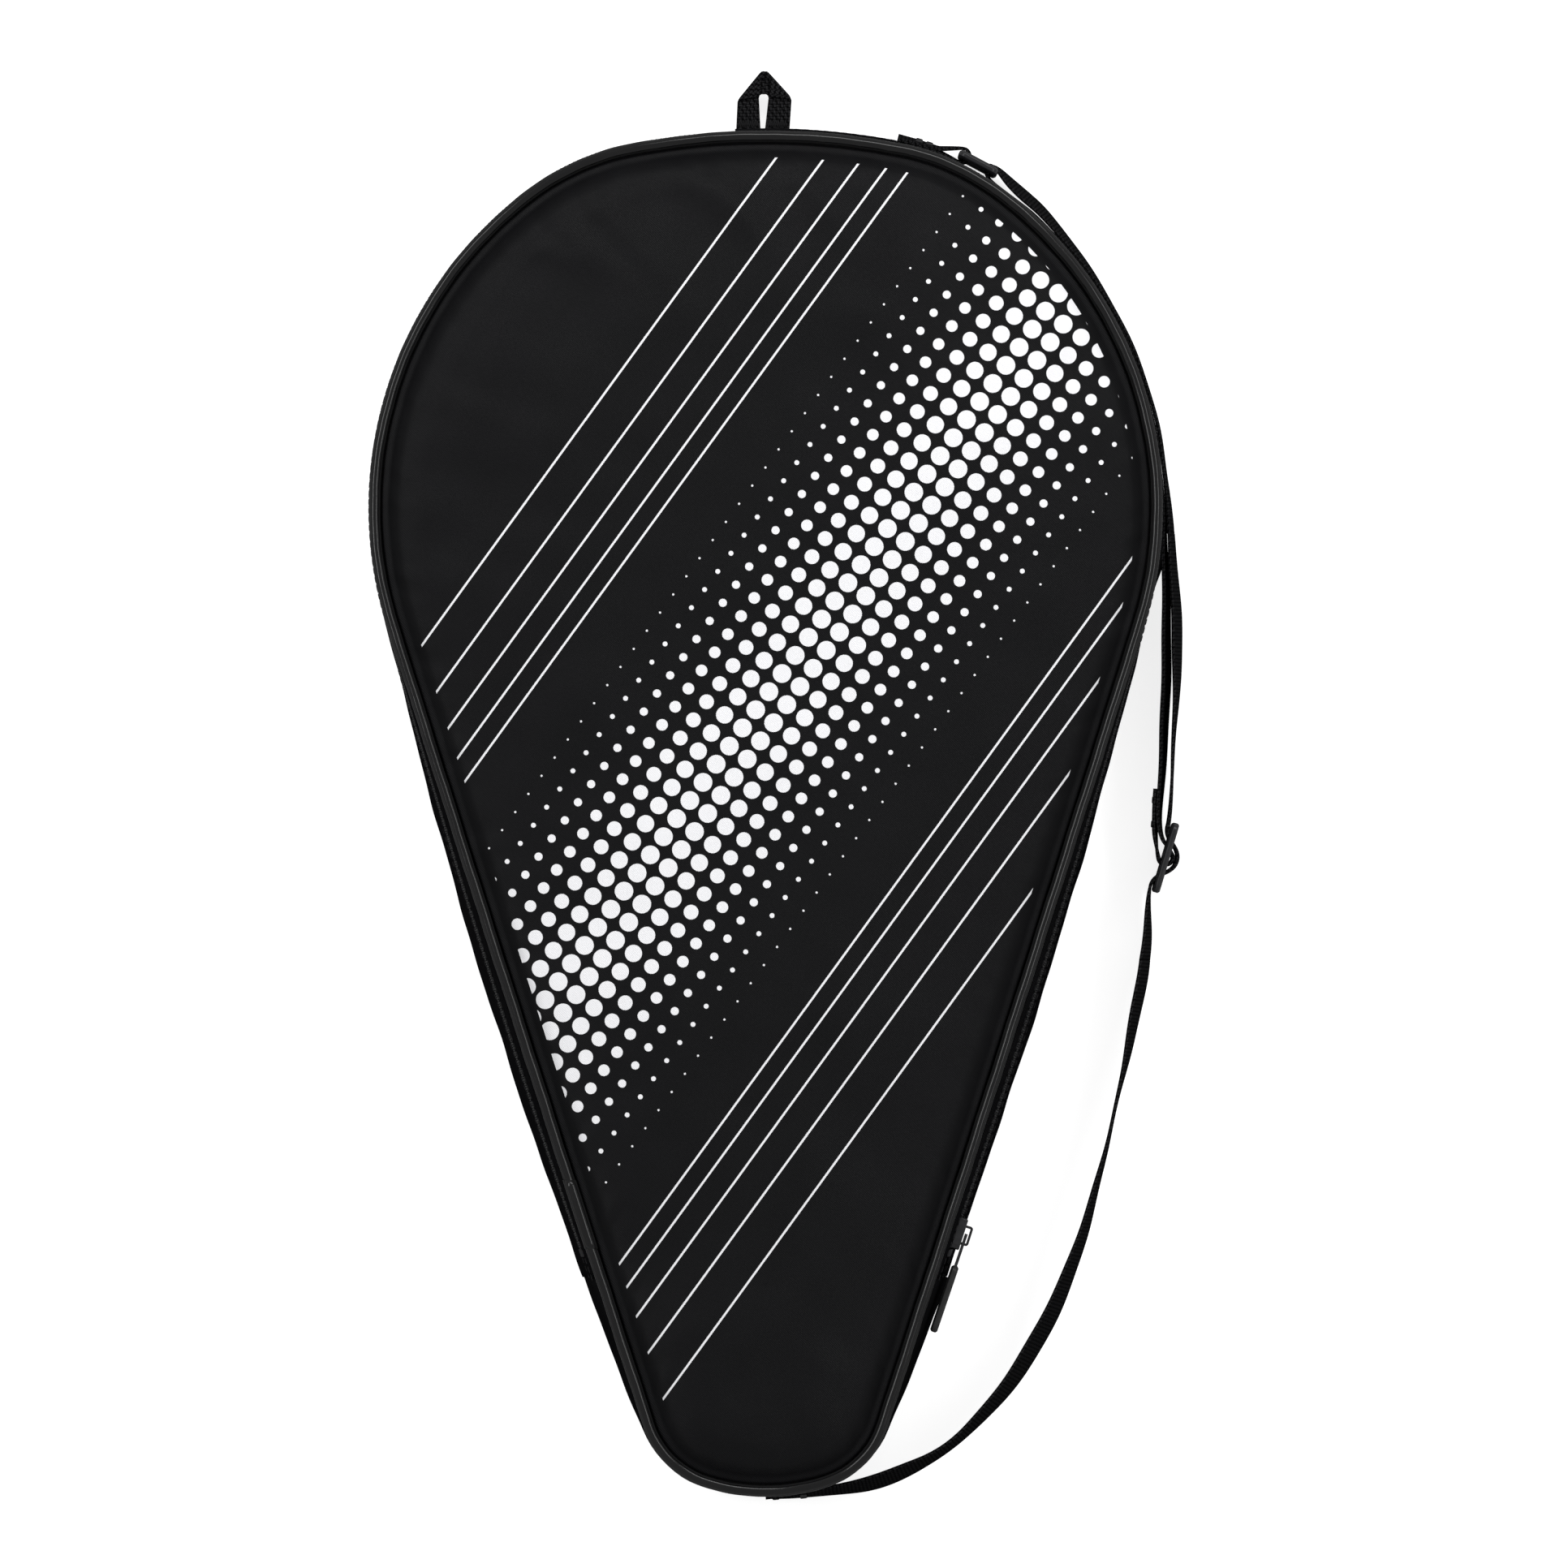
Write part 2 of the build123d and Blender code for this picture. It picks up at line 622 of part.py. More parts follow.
def bar_loop(bar, room_r, foot):
    """Webbing round a bar, as a teardrop whose two layers meet at foot."""
    way = (bar - foot).normalized()
    aside = Vector(-way.Y, way.X) * WEB_T
    with BuildSketch(mode=Mode.PRIVATE) as section:
        with BuildLine():
            Line(foot + aside, foot - aside)
            CenterArc(bar, room_r + WEB_T, 0, 360)
        make_hull()
        with BuildLine():
            Polyline(foot, *tangents(bar, room_r, foot), close=True)
        make_face(mode=Mode.SUBTRACT)
        with Locations(bar):
            Circle(room_r, mode=Mode.SUBTRACT)
    return section.sketch


WEB_LOW = STRAP_Z - WEB_W / 2
BAR_REACH = math.sqrt(2) * (BAR_T / 2 - BAR_ROUND) + BAR_ROUND
TAB_FOOT, TAB_OUT = gusset_point(TAB_ALONG)
TAB_START = TAB_FOOT + TAB_OUT * (WEB_GAP + WEB_T)
TAB_WAY = (NEAR_BAR - TAB_START).normalized()
TAB_SIDE = Vector(-TAB_WAY.Y, TAB_WAY.X)

with BuildPart() as ring_tab:
    with BuildSketch(Plane.XY.offset(WEB_LOW)):
        add(bar_loop(NEAR_BAR, BAR_REACH + WEB_GAP, TAB_START + TAB_WAY * TAB_SEWN))
        with BuildLine():
            Polyline(
                TAB_START - TAB_SIDE * WEB_T,
                TAB_START + TAB_SIDE * WEB_T,
                TAB_START + TAB_SIDE * WEB_T + TAB_WAY * TAB_SEWN,
                TAB_START - TAB_SIDE * WEB_T + TAB_WAY * TAB_SEWN,
                close=True,
            )
        make_face()
    extrude(amount=WEB_W)
save(ring_tab.part, "ring_tab")


def bartacks(base, way, out, steps):
    """Rows of stitching across a webbing's outer face, each this far along it."""
    face = Plane(origin=(base.X, base.Y, STRAP_Z), x_dir=way, z_dir=out)
    with BuildPart(mode=Mode.PRIVATE) as rows:
        with BuildSketch(face):
            with Locations([(step, 0) for step in steps]):
                Rectangle(STITCH_W, WEB_W - 2 * STITCH_W)
        extrude(amount=STITCH_T)
    return rows.part


TAB_TACKS = (TAB_SEWN * 0.45, TAB_SEWN * 0.8)
save(bartacks(TAB_START + TAB_SIDE * WEB_T, TAB_WAY, TAB_SIDE, TAB_TACKS), "ring_tab_bartacks")


# ---------------------------------------------------------------- hang loop on the crown
LOOP_LOW = GUSSET_LOW + LAYER_GAP
LOOP_TAIL_Y = TOP_Y - lean(LOOP_LOW) - GUSSET_T
with BuildPart() as hang_loop:
    with BuildSketch(Plane.XY.offset(LOOP_LOW)):
        with BuildLine():
            Polyline(
                (LOOP_X - LOOP_W / 2, LOOP_TAIL_Y),
                (LOOP_X - LOOP_W / 2, TOP_Y + LOOP_SHOULDER),
                (LOOP_X - LOOP_TIP / 2, TOP_Y + LOOP_H),
                (LOOP_X + LOOP_TIP / 2, TOP_Y + LOOP_H),
                (LOOP_X + LOOP_W / 2, TOP_Y + LOOP_SHOULDER),
                (LOOP_X + LOOP_W / 2, LOOP_TAIL_Y),
                close=True,
            )
        make_face()
        with BuildLine():
            Polyline(
                (LOOP_X - LOOP_SLIT / 2, LOOP_TAIL_Y),
                (LOOP_X - LOOP_SLOT / 2, TOP_Y + LOOP_SHOULDER + 1),
                (LOOP_X + LOOP_SLOT / 2, TOP_Y + LOOP_SHOULDER + 1),
                (LOOP_X + LOOP_SLIT / 2, LOOP_TAIL_Y),
                close=True,
            )
        make_face(mode=Mode.SUBTRACT)
    extrude(amount=LOOP_T)
    with BuildSketch(Plane.XY.offset(LOOP_LOW + LOOP_T)):
        with BuildLine():
            Polyline(
                (LOOP_X - LOOP_W / 2 + 0.6, TOP_Y + LOOP_SHOULDER + 1.4),
                (LOOP_X - LOOP_TIP / 2, TOP_Y + LOOP_H - 0.6),
                (LOOP_X + LOOP_TIP / 2, TOP_Y + LOOP_H - 0.6),
                (LOOP_X + LOOP_W / 2 - 0.6, TOP_Y + LOOP_SHOULDER + 1.4),
                close=True,
            )
        make_face()
    extrude(amount=LOOP_T)
save(hang_loop.part, "hang_loop")

with BuildPart() as hang_loop_bartacks:
    with BuildSketch(Plane.XY.offset(LOOP_LOW + LOOP_T)):
        with Locations([(LOOP_X + side * (LOOP_W + LOOP_SLIT) / 4, TOP_Y + 3.5) for side in (-1, 1)]):
            Rectangle(LOOP_LEG - 1, STITCH_W)
    extrude(amount=STITCH_T)
save(hang_loop_bartacks.part, "hang_loop_bartacks")


# ---------------------------------------------------------------- tri-glide that sets the strap's length
GLIDE_WAY = Vector(math.cos(math.radians(GLIDE_LEAN)), math.sin(math.radians(GLIDE_LEAN)))
GLIDE = Plane(
    origin=(GLIDE_X, GLIDE_Y, STRAP_Z), x_dir=GLIDE_WAY, z_dir=(GLIDE_WAY.Y, -GLIDE_WAY.X, 0)
)
GLIDE_SLOT = (GLIDE_L - 2 * GLIDE_BAR - GLIDE_MID) / 2
GLIDE_W = ROOM_W + 2 * GLIDE_RAIL

with BuildPart() as triglide:
    with BuildSketch(GLIDE.offset(-GLIDE_T / 2)):
        RectangleRounded(GLIDE_L, GLIDE_W, 3.0)
        with Locations([(side * (GLIDE_MID + GLIDE_SLOT) / 2, 0) for side in (-1, 1)]):
            RectangleRounded(GLIDE_SLOT, ROOM_W, 0.8, mode=Mode.SUBTRACT)
    extrude(amount=GLIDE_T)
    chamfer(triglide.faces().filter_by(GLIDE).edges(), GLIDE_ROUND)
save(triglide.part, "triglide")


# ---------------------------------------------------------------- shoulder strap
# From the toe, through the tri-glide, up the head's side, round the ring and back down to the
# tri-glide's middle bar. Each point is (x, y, radius), and radius 0 is as large as its runs allow.
GLIDE_MIDDLE = Vector(GLIDE_X, GLIDE_Y)
GLIDE_OUT = Vector(GLIDE_WAY.Y, -GLIDE_WAY.X)


def glide_point(along, out, radius):
    """A point of the strap's way past the tri-glide: along the frame, and out of its plane."""
    point = GLIDE_MIDDLE + GLIDE_WAY * along + GLIDE_OUT * out
    return (point.X, point.Y, radius)


LOWER_RUN = [
    (0.0, TOE_Y - 1.3, 0),
    (22.0, TOE_Y + 1.0, 0),
    (44.0, TOE_Y + 6.3, 0),
    (64.0, TOE_Y + 16.4, 0),
    (82.5, -210.7, 0),
    (97.5, -188.2, 0),
    (109.5, -161.5, 0),
    (118.3, -133.0, 0),
    (125.3, -103.5, 0),
    (131.6, -74.0, 0),
    (135.8, -50.0, 0),
]
GLIDE_RUN = [
    glide_point(-14.0, -2.2, 0),
    glide_point(-8.0, -2.2, 2.5),
    glide_point(-3.0, 4.1, 2.5),
    glide_point(3.0, 4.1, 2.5),
    glide_point(8.0, -2.2, 2.5),
    glide_point(14.0, -2.4, 0),
]
OUTER_RUN = [
    (145.9, 14.0, 0),
    (146.9, 35.0, 0),
    (147.7, 60.0, 0),
    (146.2, 88.0, 0),
    (145.6, 116.6, 0),
    (141.9, 142.4, 0),
    (133.0, 168.9, 0),
    (119.3, 193.2, 0),
    (102.4, 215.2, 0),
    (91.5, 225.5, 0),
]
RING_TURN = [(81.3, 234.0, 2.4), (78.1, 229.8, 2.4)]
INNER_RUN = [
    (89.4, 222.0, 0),
    (100.0, 213.3, 0),
    (118.0, 192.3, 0),
    (131.7, 168.2, 0),
    (140.4, 142.0, 0),
    (143.9, 116.4, 0),
    (144.2, 88.0, 0),
    (143.9, 60.0, 0),
    (143.1, 34.0, 0),
    (142.2, 12.0, 0),
    (140.95, -7.3, 0),
]
STRAP_ROUTE = LOWER_RUN + GLIDE_RUN + OUTER_RUN + RING_TURN + INNER_RUN
ROUTE_POINTS = [Vector(x, y, STRAP_Z) for x, y, _ in STRAP_ROUTE]
ROUTE_RADII = []
for i in range(1, len(ROUTE_POINTS) - 1):
    run_in = ROUTE_POINTS[i] - ROUTE_POINTS[i - 1]
    run_out = ROUTE_POINTS[i + 1] - ROUTE_POINTS[i]
    half_turn = math.radians(run_in.get_angle(run_out)) / 2
    fits = 0.45 * min(run_in.length, run_out.length) / math.tan(half_turn)
    ROUTE_RADII.append(STRAP_ROUTE[i][2] or fits)
print("strap radii", [round(radius, 1) for radius in ROUTE_RADII])

GLIDE_REACH = math.hypot(GLIDE_MID / 2 - GLIDE_ROUND, GLIDE_T / 2 - GLIDE_ROUND) + GLIDE_ROUND
ROUTE_END = Vector(ROUTE_POINTS[-1].X, ROUTE_POINTS[-1].Y)
END_WAY = (ROUTE_POINTS[-2] - ROUTE_POINTS[-1]).normalized()
END_SIDE = Vector(-END_WAY.Y, END_WAY.X)

with BuildPart() as shoulder_strap:
    with BuildLine() as strap_path:
        FilletPolyline(*ROUTE_POINTS, radius=ROUTE_RADII)
    strap_wire = strap_path.wire()
    with BuildSketch(Plane(origin=strap_wire @ 0, x_dir=(0, 0, 1), z_dir=strap_wire % 0)):
        Rectangle(WEB_W, WEB_T)
    sweep(path=strap_wire)
    solid_share = shoulder_strap.part.volume / (strap_wire.length * WEB_W * WEB_T)
    print("strap length", round(strap_wire.length, 1), "volume share", round(solid_share, 4))
    with BuildSketch(Plane.XY.offset(WEB_LOW)):
        add(bar_loop(GLIDE_MIDDLE, GLIDE_REACH + WEB_GAP, ROUTE_END))
    extrude(amount=WEB_W)
    with BuildSketch(Plane(ROUTE_POINTS[-1] - END_WAY * WEB_T, x_dir=(0, 0, 1), z_dir=END_WAY)):
        Rectangle(WEB_W, 2 * WEB_T)
    extrude(amount=STRAP_SEWN + WEB_T)
save(shoulder_strap.part, "shoulder_strap")

TOE_WAY = (ROUTE_POINTS[1] - ROUTE_POINTS[0]).normalized()
TOE_SIDE = Vector(TOE_WAY.Y, -TOE_WAY.X)
toe_base = ROUTE_POINTS[0] + TOE_SIDE * WEB_T / 2
save(bartacks(toe_base, TOE_WAY, TOE_SIDE, TOE_TACKS), "toe_bartacks")

end_base = ROUTE_POINTS[-1] + END_SIDE * WEB_T
save(bartacks(end_base, END_WAY, END_SIDE, END_TACKS), "strap_end_bartacks")
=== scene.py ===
"""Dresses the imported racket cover: its cloth, piping, zipper, webbing, fittings, light and camera.

Lengths in the shape code are millimetres, as in the part's source; meshes are written in metres.
"""

import math

import bmesh
import bpy
import numpy as np
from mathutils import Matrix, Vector, noise
from mathutils.bvhtree import BVHTree


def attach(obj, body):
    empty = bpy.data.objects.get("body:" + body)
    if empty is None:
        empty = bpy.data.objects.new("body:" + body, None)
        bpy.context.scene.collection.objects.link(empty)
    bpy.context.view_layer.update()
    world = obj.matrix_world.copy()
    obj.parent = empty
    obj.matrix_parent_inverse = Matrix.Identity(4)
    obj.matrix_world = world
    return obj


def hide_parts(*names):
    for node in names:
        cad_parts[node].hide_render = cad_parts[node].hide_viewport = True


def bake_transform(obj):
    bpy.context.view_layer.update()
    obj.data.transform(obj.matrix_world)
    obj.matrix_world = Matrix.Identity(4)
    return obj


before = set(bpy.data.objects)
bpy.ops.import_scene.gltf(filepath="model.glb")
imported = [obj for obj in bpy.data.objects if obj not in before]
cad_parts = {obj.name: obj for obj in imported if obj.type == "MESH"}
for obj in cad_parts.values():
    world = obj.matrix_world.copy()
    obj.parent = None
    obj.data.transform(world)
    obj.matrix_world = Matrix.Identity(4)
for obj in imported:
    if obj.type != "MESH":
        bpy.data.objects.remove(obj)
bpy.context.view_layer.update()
MM = 0.001
scene = bpy.context.scene
scene.view_settings.view_transform = "Standard"


def add_object(name, data):
    """A new object in the scene, holding this data."""
    added = bpy.data.objects.new(name, data)
    scene.collection.objects.link(added)
    return added


# ---------------------------------------------------------------- camera
VIEW_WIDTH = 0.5622
VIEW_MIDDLE = (0.00655, 0.0106)
VIEW_HEIGHT = 6.0
FOCUS_Z = 0.03  # the height at which the view is VIEW_WIDTH across

lens = bpy.data.cameras.new("camera")
lens.sensor_width = 36.0
lens.lens = lens.sensor_width * (VIEW_HEIGHT - FOCUS_Z) / VIEW_WIDTH
lens.clip_end = 50.0
scene.camera = add_object("camera", lens)
scene.camera.location = (*VIEW_MIDDLE, VIEW_HEIGHT)


# ---------------------------------------------------------------- node materials
class Wire:
    """A number worked out inside a material's nodes."""

    def __init__(self, tree, socket):
        self.tree, self.socket = tree, socket

    def math(self, operation, other=None):
        node = self.tree.nodes.new("ShaderNodeMath")
        node.operation = operation
        self.tree.links.new(self.socket, node.inputs[0])
        if isinstance(other, Wire):
            self.tree.links.new(other.socket, node.inputs[1])
        elif other is not None:
            node.inputs[1].default_value = other
        return Wire(self.tree, node.outputs[0])

    def step(operation):
        return lambda self, other=None: self.math(operation, other)

    __add__, __sub__, __mul__ = step("ADD"), step("SUBTRACT"), step("MULTIPLY")
    sine, fract, root = step("SINE"), step("FRACT"), step("SQRT")
    size, over = step("ABSOLUTE"), step("GREATER_THAN")

    def ramp(self, low, high, start=0.0, end=1.0):
        """start below low, end above high, and smooth between them."""
        node = self.tree.nodes.new("ShaderNodeMapRange")
        node.interpolation_type = "SMOOTHSTEP"
        for slot, value in zip(node.inputs, (self, low, high, start, end)):
            if isinstance(value, Wire):
                self.tree.links.new(value.socket, slot)
            else:
                slot.default_value = value
        return Wire(self.tree, node.outputs[0])

    def between(self, a, b):
        """a where this is 0, and b where it is 1."""
        return (b - a) * self + a


class Finish:
    """A material whose pattern lies in the piece's own flat map, in millimetres."""

    def __init__(self, name, colour, roughness, specular):
        self.material = bpy.data.materials.new(name)
        self.material.use_nodes = True
        self.tree = self.material.node_tree
        self.shader = self.tree.nodes["Principled BSDF"]
        self.colour = colour
        self.shader.inputs["Base Color"].default_value = (*colour, 1.0)
        self.shader.inputs["Roughness"].default_value = roughness
        self.shader.inputs["Specular IOR Level"].default_value = specular

    def flat(self, name="flat"):
        """The flat map's two coordinates."""
        node = self.tree.nodes.new("ShaderNodeUVMap")
        node.uv_map = name
        return self.split(node.outputs[0], 1 / MM)

    def solid(self):
        """The object's own coordinates, for pieces with no flat map."""
        node = self.tree.nodes.new("ShaderNodeTexCoord")
        return self.split(node.outputs["Object"], 1 / MM)

    def split(self, socket, scale):
        self.place = self.tree.nodes.new("ShaderNodeVectorMath")
        self.place.operation = "SCALE"
        self.place.inputs["Scale"].default_value = scale
        self.tree.links.new(socket, self.place.inputs[0])
        parts = self.tree.nodes.new("ShaderNodeSeparateXYZ")
        self.tree.links.new(self.place.outputs[0], parts.inputs[0])
        return [Wire(self.tree, output) for output in parts.outputs]

    def cloud(self, size, detail=3.0):
        """Soft blotches of this size in millimetres."""
        node = self.tree.nodes.new("ShaderNodeTexNoise")
        node.inputs["Scale"].default_value = 1 / size
        node.inputs["Detail"].default_value = detail
        self.tree.links.new(self.place.outputs[0], node.inputs["Vector"])
        return Wire(self.tree, node.outputs[0])

    def tint(self, share, light, base=None):
        """Turns the colour, or a colour socket, to light where share is 1."""
        node = self.tree.nodes.new("ShaderNodeMix")
        node.data_type = "RGBA"
        factor, dark, bright = (node.inputs[place] for place in (0, 6, 7))
        self.tree.links.new(share.socket, factor)
        bright.default_value = (*light, 1.0)
        dark.default_value = (*self.colour, 1.0)
        if base:
            self.tree.links.new(base, dark)
        self.tree.links.new(node.outputs[2], self.shader.inputs["Base Color"])
        return node.outputs[2]

    def emboss(self, height, depth, strength):
        """Raises the surface by height, up to this depth in millimetres."""
        node = self.tree.nodes.new("ShaderNodeBump")
        node.inputs["Distance"].default_value = depth * MM
        node.inputs["Strength"].default_value = strength
        self.tree.links.new(height.socket, node.inputs["Height"])
        self.tree.links.new(node.outputs[0], self.shader.inputs["Normal"])

    def rim(self):
        """0 where the surface faces the eye, and 1 at its grazing rim."""
        return Wire(self.tree, self.tree.nodes.new("ShaderNodeLayerWeight").outputs["Facing"])

    def roughen(self, share, low, high):
        self.tree.links.new(share.ramp(0.0, 1.0, low, high).socket, self.shader.inputs["Roughness"])


def plain_weave(u, v, across, along):
    """The height of a plain weave, 0 to 1, whose threads lie this far apart."""
    warp = (u * (math.pi / across)).sine()
    weft = (v * (math.pi / along)).sine()
    return (warp * weft).over(0.0).between(warp.size(), weft.size())


def twill_weave(u, v, pitch):
    """The height of a twill, 0 to 1: threads under raised diagonal lines."""
    lines = ((u + v) * (math.pi / pitch)).sine().size()
    threads = ((u - v) * (math.pi / (0.6 * pitch))).sine().size()
    return lines * 0.75 + threads * 0.25


BLACK = (0.0023, 0.0023, 0.0026)
INK = (0.86, 0.86, 0.88)


def cloth_finish(name, colour, pitch, lighter=2.2, gloss=0.058):
    finish = Finish(name, colour, 0.42, gloss)
    u, v, _ = finish.flat()
    height = twill_weave(u, v, pitch)
    mottle_and_weave_sheen = finish.cloud(26.0) * 0.5 + height * 0.5
    # Lighter in soft random blotches and on the twill's raised lines; the lighter raised lines are a
    # painted highlight.
    result = finish.tint(mottle_and_weave_sheen.ramp(0.25, 0.95), [lighter * part for part in colour])
    finish.roughen(finish.cloud(40.0), 0.34, 0.5)
    finish.emboss(height + finish.cloud(9.0) * 0.6, 0.14, 0.5)
    return finish, u, v, result


PRINT_TURN = math.radians(54.0)  # the way the printed sash rises
PRINT_MIDDLE = (2.0, 38.0)
SASH_HALF = 66.0
DOT_PITCH, DOT_MOST = 8.0, 3.35
ECHO_LINES = (73.0, 80.0, 89.0, 100.0, 114.0)
ECHO_W = 0.75
PRINT_EDGE = 5.2  # how far inside the panel's edge the print stops
DOT_BLUR, LINE_BLUR = 0.1, 0.08


def front_finish():
    """The front panel's nylon, printed in white with a generic sash of dots and thin lines."""
    finish, x, y, cloth = cloth_finish("front_cloth", BLACK, 0.85)
    inside = finish.flat("edge")[0].over(PRINT_EDGE)
    x, y = x - PRINT_MIDDLE[0], y - PRINT_MIDDLE[1]
    along = x * math.cos(PRINT_TURN) + y * math.sin(PRINT_TURN)
    aside = y * math.cos(PRINT_TURN) - x * math.sin(PRINT_TURN)
    over = (along * (1 / DOT_PITCH)).fract() - 0.5
    side = (aside * (1 / DOT_PITCH)).fract() - 0.5
    reach = (over * over + side * side).root() * DOT_PITCH
    off = aside.size()
    radius = off.ramp(0.0, SASH_HALF, DOT_MOST, 0.0)
    ink = (reach - radius).ramp(-DOT_BLUR, DOT_BLUR, 1.0, 0.0)
    ink = ink * off.ramp(SASH_HALF - 9.0, SASH_HALF - 8.0, 1.0, 0.0)
    line_ends = (ECHO_W / 2 - LINE_BLUR, ECHO_W / 2 + LINE_BLUR)
    for place in ECHO_LINES:
        ink = ink + (off - place).size().ramp(*line_ends, 1.0, 0.0)
    finish.tint(ink * inside, INK, cloth)
    return finish.material


def webbing_finish(name):
    finish = Finish(name, (0.0024, 0.0024, 0.0026), 0.7, 0.0)
    u, v, _ = finish.flat()
    height = plain_weave(u, v, 1.35, 1.1)
    rib = ((u + v * 0.9) * (math.pi / 2.5)).sine().size()
    # The weave's raised threads and ribs are tinted lighter and its hollows stay darker: painted
    # highlight and painted shade.
    finish.tint((height * 0.6 + rib * 0.4).ramp(0.4, 0.95), (0.019, 0.019, 0.020))
    finish.emboss(height * 0.7 + rib * 0.3, 0.42, 1.0)
    return finish.material


def vinyl_finish():
    finish = Finish("piping_vinyl", (0.0010, 0.0010, 0.0012), 0.18, 0.19)
    finish.flat()
    skin = finish.cloud(0.7, 4.0)
    finish.tint(finish.cloud(14.0).ramp(0.3, 0.8), (0.0026, 0.0026, 0.0028))
    finish.roughen(finish.cloud(6.0) * 0.08 + finish.rim().ramp(0.2, 0.5), 0.15, 0.85)
    finish.emboss(skin, 0.03, 0.4)
    return finish.material


def moulded_finish(name, colour, roughness, grain):
    """Moulded plastic, rubber or painted metal, with its own fine grain."""
    finish = Finish(name, colour, roughness, 0.2)
    finish.solid()
    finish.tint(finish.cloud(2.6).ramp(0.35, 0.8), [1.6 * part for part in colour])
    finish.roughen(finish.cloud(3.5) * 0.25 + finish.rim().ramp(0.35, 0.7), roughness - 0.06, 0.9)
    finish.emboss(finish.cloud(grain, 4.0), 0.04, 0.5)
    return finish.material


def thread_finish():
    finish = Finish("thread", (0.004, 0.004, 0.0044), 0.6, 0.05)
    x, y, z = finish.solid()
    twist = ((x + y + z) * (math.pi / 0.45)).sine().size()
    # Lighter on the twist's ridges: a painted highlight.
    finish.tint(twist, (0.014, 0.014, 0.015))
    finish.emboss(twist, 0.08, 0.7)
    return finish.material


def plain_finish(name, colour, across, along):
    """A plain-woven cloth or tape."""
    finish = Finish(name, colour, 0.7, 0.02)
    u, v, _ = finish.flat()
    height = plain_weave(u, v, across, along)
    mottle_and_weave_sheen = height * 0.6 + finish.cloud(18.0) * 0.4
    # Lighter on the weave's raised threads, which is a painted highlight, and in soft random
    # blotches.
    finish.tint(mottle_and_weave_sheen.ramp(0.2, 0.95), [1.8 * part for part in colour])
    finish.emboss(height, 0.14, 0.6)
    return finish.material


LOOKS = {
    "print": front_finish(),
    "shell_cloth": cloth_finish("shell_cloth", BLACK, 0.85)[0].material,
    "side_cloth": cloth_finish("side_cloth", (0.0034, 0.0034, 0.0037), 0.85, 2.4, 0.0)[0].material,
    "lining": plain_finish("lining_cloth", (0.03, 0.03, 0.033), 0.7, 0.7),
    "piping_vinyl": vinyl_finish(),
    "tape": plain_finish("tape_cloth", (0.007, 0.007, 0.0075), 0.9, 0.6),
    "zipper_teeth": moulded_finish("zipper_nylon", (0.009, 0.009, 0.0095), 0.3, 0.5),
    "webbing": webbing_finish("webbing"),
    "thread": thread_finish(),
    "slider_metal": moulded_finish("slider_paint", (0.012, 0.012, 0.013), 0.28, 0.9),
    "pull_rubber": moulded_finish("pull_rubber", (0.010, 0.010, 0.010), 0.5, 0.5),
    "fitting_plastic": moulded_finish("fitting_plastic", (0.008, 0.008, 0.009), 0.34, 0.8),
}


# ---------------------------------------------------------------- mesh pieces
def new_piece(name, slot, points, faces, flat=None, look=None, edge=None, weld=False):
    """A smooth mesh piece from points in millimetres, with its flat maps given by corner."""
    mesh = bpy.data.meshes.new(name)
    mesh.from_pydata((np.asarray(points) * MM).tolist(), [], faces)
    for map_name, map_points in (("flat", flat), ("edge", edge)):
        if map_points is not None:
            layer = mesh.uv_layers.new(name=map_name)
            layer.data.foreach_set("uv", (np.asarray(map_points) * MM).ravel())
    if weld:
        build = bmesh.new()
        build.from_mesh(mesh)
        bmesh.ops.remove_doubles(build, verts=build.verts, dist=0.01 * MM)
        build.to_mesh(mesh)
        build.free()
    mesh.polygons.foreach_set("use_smooth", [True] * len(mesh.polygons))
    mesh.materials.append(LOOKS[look or slot])
    mesh.update()
    piece = add_object(name, mesh)
    return piece


def grid_faces(rows, columns, wrap_rows, wrap_columns):
    """Quads over a grid of points, and the (row, column) of each corner before it wraps."""
    last_row = rows if wrap_rows else rows - 1
    last_column = columns if wrap_columns else columns - 1
    r, c = np.meshgrid(np.arange(last_row), np.arange(last_column), indexing="ij")
    corners = np.stack([(r, c), (r, c + 1), (r + 1, c + 1), (r + 1, c)]).reshape(4, 2, -1)
    corners = corners.transpose(2, 0, 1)
    faces = (corners[..., 0] % rows) * columns + corners[..., 1] % columns
    return faces, corners


def grid_piece(name, slot, grid, us, vs, wrap_rows=False, wrap_columns=False, look=None):
    """A piece over a grid of points. us and vs are the flat map's columns and rows."""
    rows, columns = grid.shape[:2]
    faces, corners = grid_faces(rows, columns, wrap_rows, wrap_columns)
    flat = np.stack([np.asarray(us)[corners[..., 1]], np.asarray(vs)[corners[..., 0]]], axis=-1)
    faces, flat = faces.tolist(), flat.reshape(-1, 2).tolist()
    if wrap_rows and not wrap_columns:
        for column, order in ((0, 1), (columns - 1, -1)):
            ring = [row * columns + column for row in range(rows)][::order]
            faces.append(ring)
            flat += [(us[column], vs[row]) for row in list(range(rows))[::order]]
    return new_piece(name, slot, grid.reshape(-1, 3), faces, flat, look)


def rounded(width, height, radius):
    """A rectangle's outline with rounded corners, about the origin."""
    points, steps = [], 3
    wide, high = width / 2 - radius, height / 2 - radius
    for quarter, (x, y) in enumerate(((1, 1), (-1, 1), (-1, -1), (1, -1))):
        for step in range(steps + 1):
            turn = math.radians(90 * quarter + 90 * step / steps)
            points.append((x * wide + radius * math.cos(turn), y * high + radius * math.sin(turn)))
    return points


def lengths(points):
    """How far along the line each of its points lies."""
    steps = np.linalg.norm(np.diff(points, axis=0), axis=1)
    return np.concatenate([[0.0], np.cumsum(steps)])


# ---------------------------------------------------------------- shoulder strap
WEB_T, WEB_W, STRAP_Z = 1.2, 25.0, 16.5
